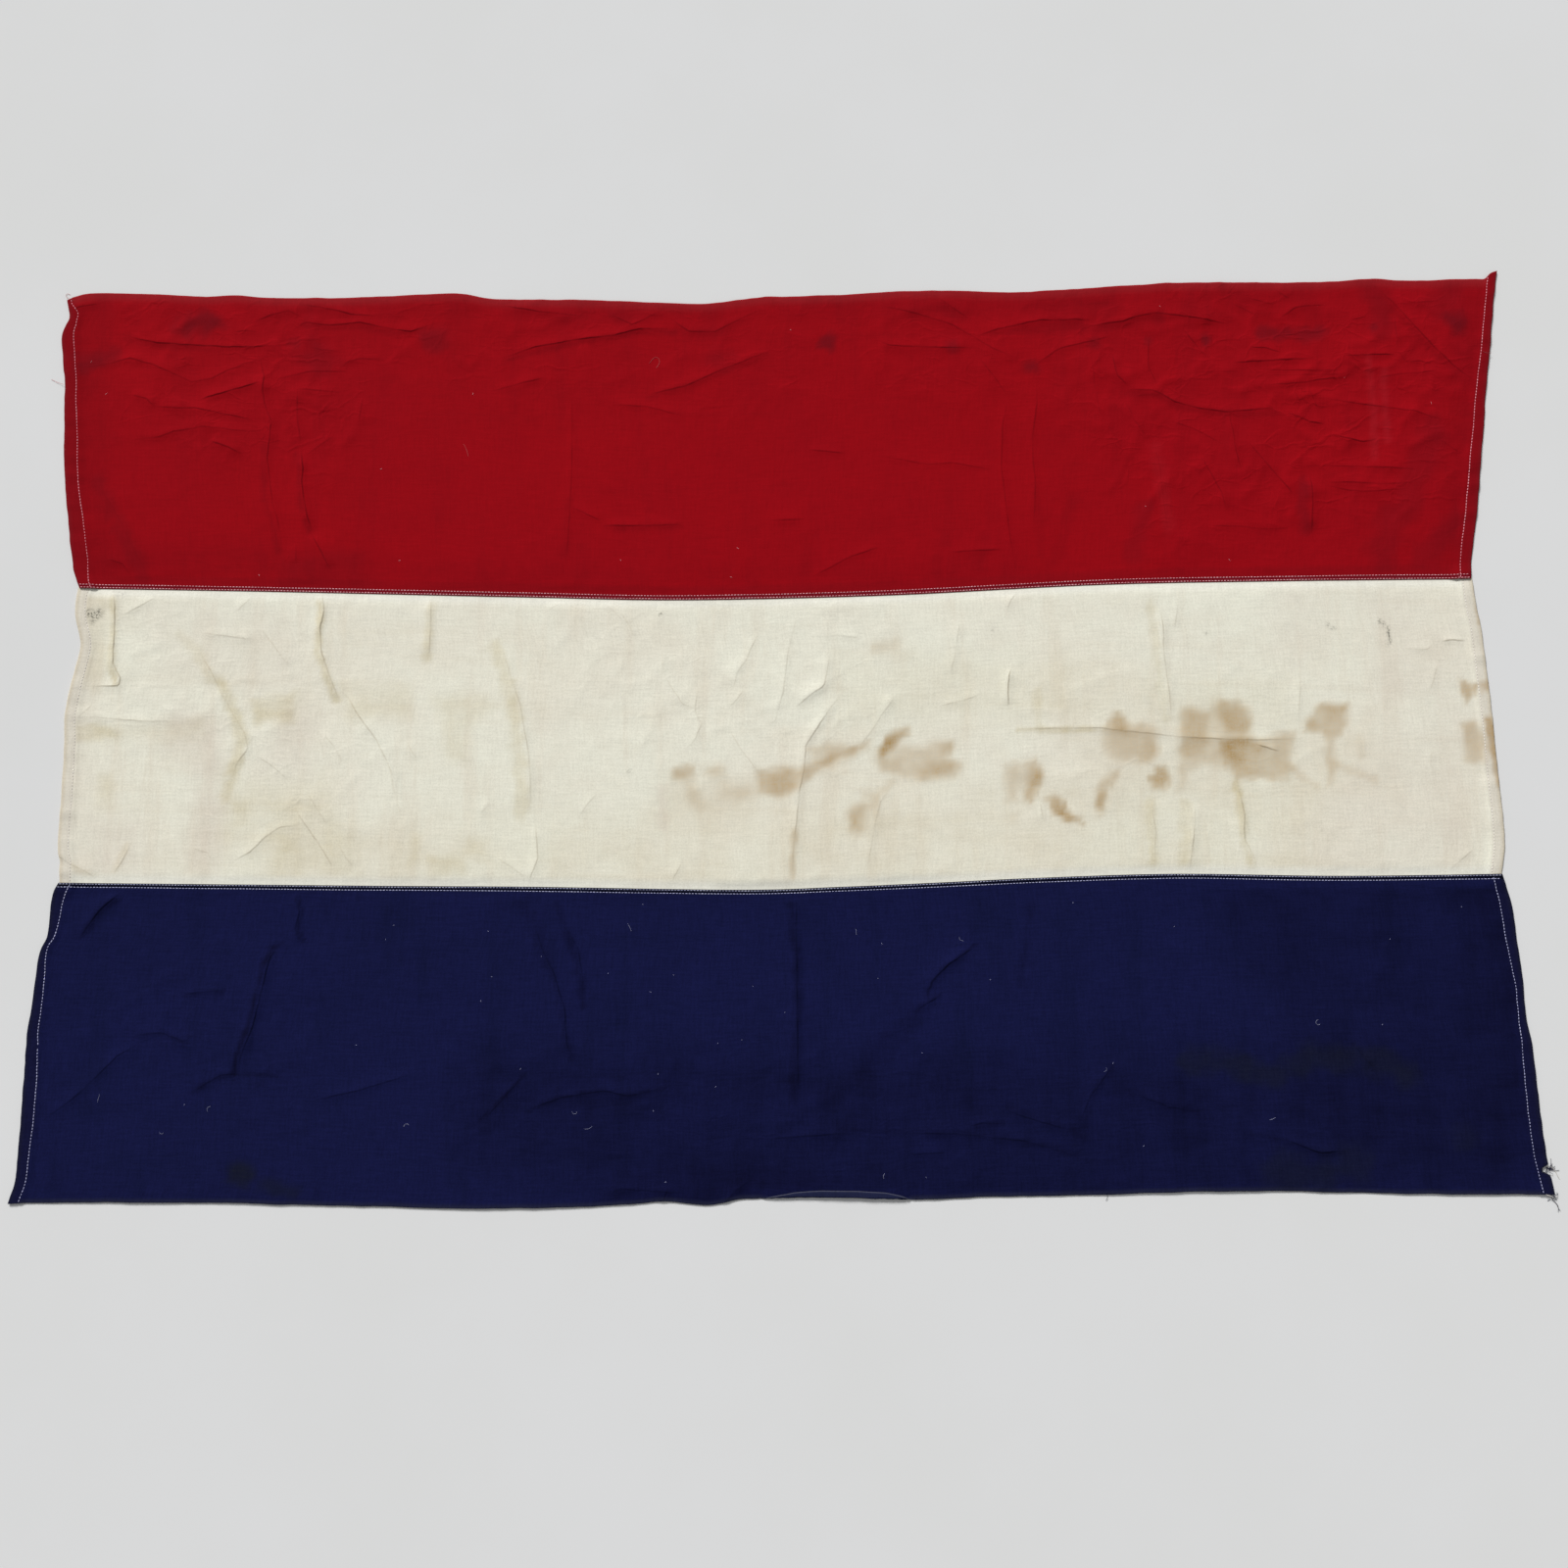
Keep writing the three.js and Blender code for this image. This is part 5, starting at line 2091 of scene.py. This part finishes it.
def blue_stripe() -> Stripe:
    """The bottom stripe, of navy cotton, whose upper edge is felled over the white one."""
    return Stripe(
        name="blue_stripe",
        lower=Edge((
            (-760, -476), (-716, -475), (-597, -475), (-522, -476), (-448, -478), (-383, -479),
            (-311, -481), (-196, -479), (-144, -476), (-118, -474), (-85, -477), (-69, -477), (-41, -472),
            (-17, -471),
            (60, -470), (131, -472), (216, -469), (293, -468), (388, -465), (492, -464), (589, -466),
            (678, -467), (760, -467),
        )),
        upper=Edge(BLUE_SEAM),
        left=Edge((
            (-760, -476), (-754, -454), (-753, -431), (-751, -363), (-750, -314), (-747, -285),
            (-742, -233), (-735, -213), (-733, -182), (-730, -169), (-726, -161),
        )),
        right=Edge((
            (760, -467), (758, -455), (755, -437), (750, -391), (746, -328), (741, -293), (739, -250),
            (735, -209), (732, -181), (727, -163), (724, -152),
        )),
        sewn=Side.UPPER,
        laps_over=True,
        flat=(0.33, 1.54),
        finish=BLUE_COTTON,
        creases=BLUE_CREASES,
        stains=BLUE_STAINS,
        soil=BLUE_SOIL_AND_SHADE,
        tinged=[],
        soot=[],
        crushed=BLUE_CRUSHED,
        seed=59,
        left_hem=Hem(
            ((0.0, 9.5), (0.1, 10.3), (0.25, 12.4), (0.36, 12.6), (0.54, 10.6), (0.72, 8.3), (0.8, 5.7),
             (0.89, 10.5), (0.98, 13.0)),
        ),
        right_hem=Hem(
            ((0.0, 10.4), (0.1, 11.9), (0.27, 11.9), (0.45, 10.2), (0.55, 7.7), (0.63, 7.3), (0.72, 9.9),
             (0.89, 11.9), (1.0, 10.0)),
            nicks=((0.075, 8.0, 3.6),),
        ),
        turned_edge=((-24, 0), (-8, 2), (12, 5), (40, 6.6), (80, 6.8), (104, 6), (118, 3.5), (128, 0)),
        free_lines=(0.0, 0.9, 1.8, 2.8, 3.8, 4.8, 5.7, 6.4, 7.1, 8.0, 9.5, 12.0, 15.0),
    )


@dataclass
class Flag:
    """The whole flag: three stripes, their stitches, and what has worked loose."""

    red: Stripe = field(default_factory=red_stripe)
    white: Stripe = field(default_factory=white_stripe)
    blue: Stripe = field(default_factory=blue_stripe)

    def sewing(self) -> dict[str, list[bpy.types.Object]]:
        """Sew every seam and hem.

        Returns:
            The stitch pieces on each stripe, by the stripe's name.
        """
        outer, inner = SEAM_ROWS
        rows: dict[str, list[StitchRow]] = {
            self.red.name: [
                SeamRow("red_seam_outer_row", self.red, PINK_THREAD, inset=outer, seed=1, stitch_share=0.72),
                SeamRow("red_seam_inner_row", self.red, PINK_THREAD, inset=inner, seed=2, stitch_share=0.72),
                HemRow("red_left_hem_row", self.red, ROSE_THREAD, seed=3, thickness=0.8),
                HemRow("red_right_hem_row", self.red, ROSE_THREAD, seed=4, thickness=0.8, right_end=True),
            ],
            self.white.name: [
                HemRow("white_left_hem_row", self.white, WHITE_THREAD, seed=5),
                HemRow("white_right_hem_row", self.white, WHITE_THREAD, seed=6, right_end=True),
            ],
            self.blue.name: [
                SeamRow("blue_seam_outer_row", self.blue, GREY_THREAD, inset=outer, seed=7),
                SeamRow("blue_seam_inner_row", self.blue, BLUED_THREAD, inset=inner, seed=8, thickness=0.65),
                HemRow(
                    "blue_left_hem_row", self.blue, BLUED_THREAD, seed=9, thickness=0.8,
                    skipped=((0.47, 0.485),),
                ),
                HemRow(
                    "blue_right_hem_row", self.blue, BLUED_THREAD, seed=10, thickness=0.7, right_end=True,
                ),
            ],
        }
        return {stripe: [row.build() for row in sewn] for stripe, sewn in rows.items()}

    def loosen(self) -> None:
        """Scatter the lint, the hairs and the frayed ends."""
        Fibres("blue_lint", BLUED_THREAD, self.blue, curls(BLUE_LINT, 1.4, 3), 0.25).build()
        Fibres("blue_hairs", GREY_THREAD, self.blue, curls(BLUE_HAIRS, 8.0, 5), 0.2).build()
        Fibres("red_lint", PINK_THREAD, self.red, curls(RED_LINT, 2.2, 7), 0.3).build()
        Fibres("red_hairs", RED_FIBRE, self.red, RED_HAIRS, 0.3).build()
        Fibres("corner_threads", WHITE_THREAD, self.blue, CORNER_THREADS, 0.5).build()
        frayed = CORNER_TAIL + tuft((754, -442), -0.5, 16, 9.0, 11) + tuft((759, -468), -0.9, 8, 6.0, 12)
        Fibres("corner_tail", NAVY_FIBRE, self.blue, frayed, 0.4).build()

    def build(self) -> None:
        """Build the stripes, sew them, and scatter what has worked loose."""
        cloths = {stripe.name: stripe.build() for stripe in (self.red, self.white, self.blue)}
        sewn = self.sewing()
        self.loosen()


# ------------------------------------------------------------------------------
# The studio


@dataclass
class Studio:
    """A plain pale floor, soft light from the upper left and a camera nearly overhead."""

    floor_size: float = 9.0
    floor_drop: float = 0.0003
    camera_place: tuple[float, float, float] = (0.0025, -0.2409, 1.58)
    tilt: float = 6.5
    sensor: float = 36.0
    lens: float = 36.045
    key_elevation: float = 32.0
    key_heading: float = 116.0
    key_spread: float = 18.0
    key_strength: float = 3.5
    sky_colour: Colour = (0.97, 0.985, 1.0, 1.0)
    sky_strength: float = 0.3

    def floor(self) -> None:
        """Lay the floor under the flag."""
        bpy.ops.object.select_all(action="DESELECT")
        bpy.ops.mesh.primitive_plane_add(size=self.floor_size, location=(0, 0, -self.floor_drop))
        made = bpy.context.active_object
        made.name = "floor"
        made.data.materials.append(FloorFinish().material())

    def light(self) -> None:
        """Set the soft key light and the even light of the room."""
        key = bpy.data.lights.new("key", "SUN")
        key.energy, key.angle = self.key_strength, math.radians(self.key_spread)
        lamp = bpy.data.objects.new("key", key)
        lamp.rotation_euler = (0, math.radians(90 - self.key_elevation), math.radians(self.key_heading))
        bpy.context.scene.collection.objects.link(lamp)
        world = bpy.data.worlds.new("room")
        world.use_nodes = True
        background = world.node_tree.nodes["Background"]
        background.inputs["Color"].default_value = self.sky_colour
        background.inputs["Strength"].default_value = self.sky_strength
        bpy.context.scene.world = world
        bpy.context.scene.view_settings.view_transform = "Standard"

    def camera(self) -> None:
        """Set the camera up."""
        data = bpy.data.cameras.new("camera")
        data.sensor_width, data.lens = self.sensor, self.lens
        made = bpy.data.objects.new("camera", data)
        made.location = self.camera_place
        made.rotation_euler = (math.radians(self.tilt), 0, 0)
        bpy.context.scene.collection.objects.link(made)
        bpy.context.scene.camera = made

    def build(self) -> None:
        """Build the studio."""
        self.floor()
        self.light()
        self.camera()


def main() -> None:
    """Build the flag and the studio."""
    logging.basicConfig(level=logging.INFO, format="%(name)s: %(message)s")
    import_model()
    Flag().build()
    Studio().build()


if __name__ == "__main__":
    main()
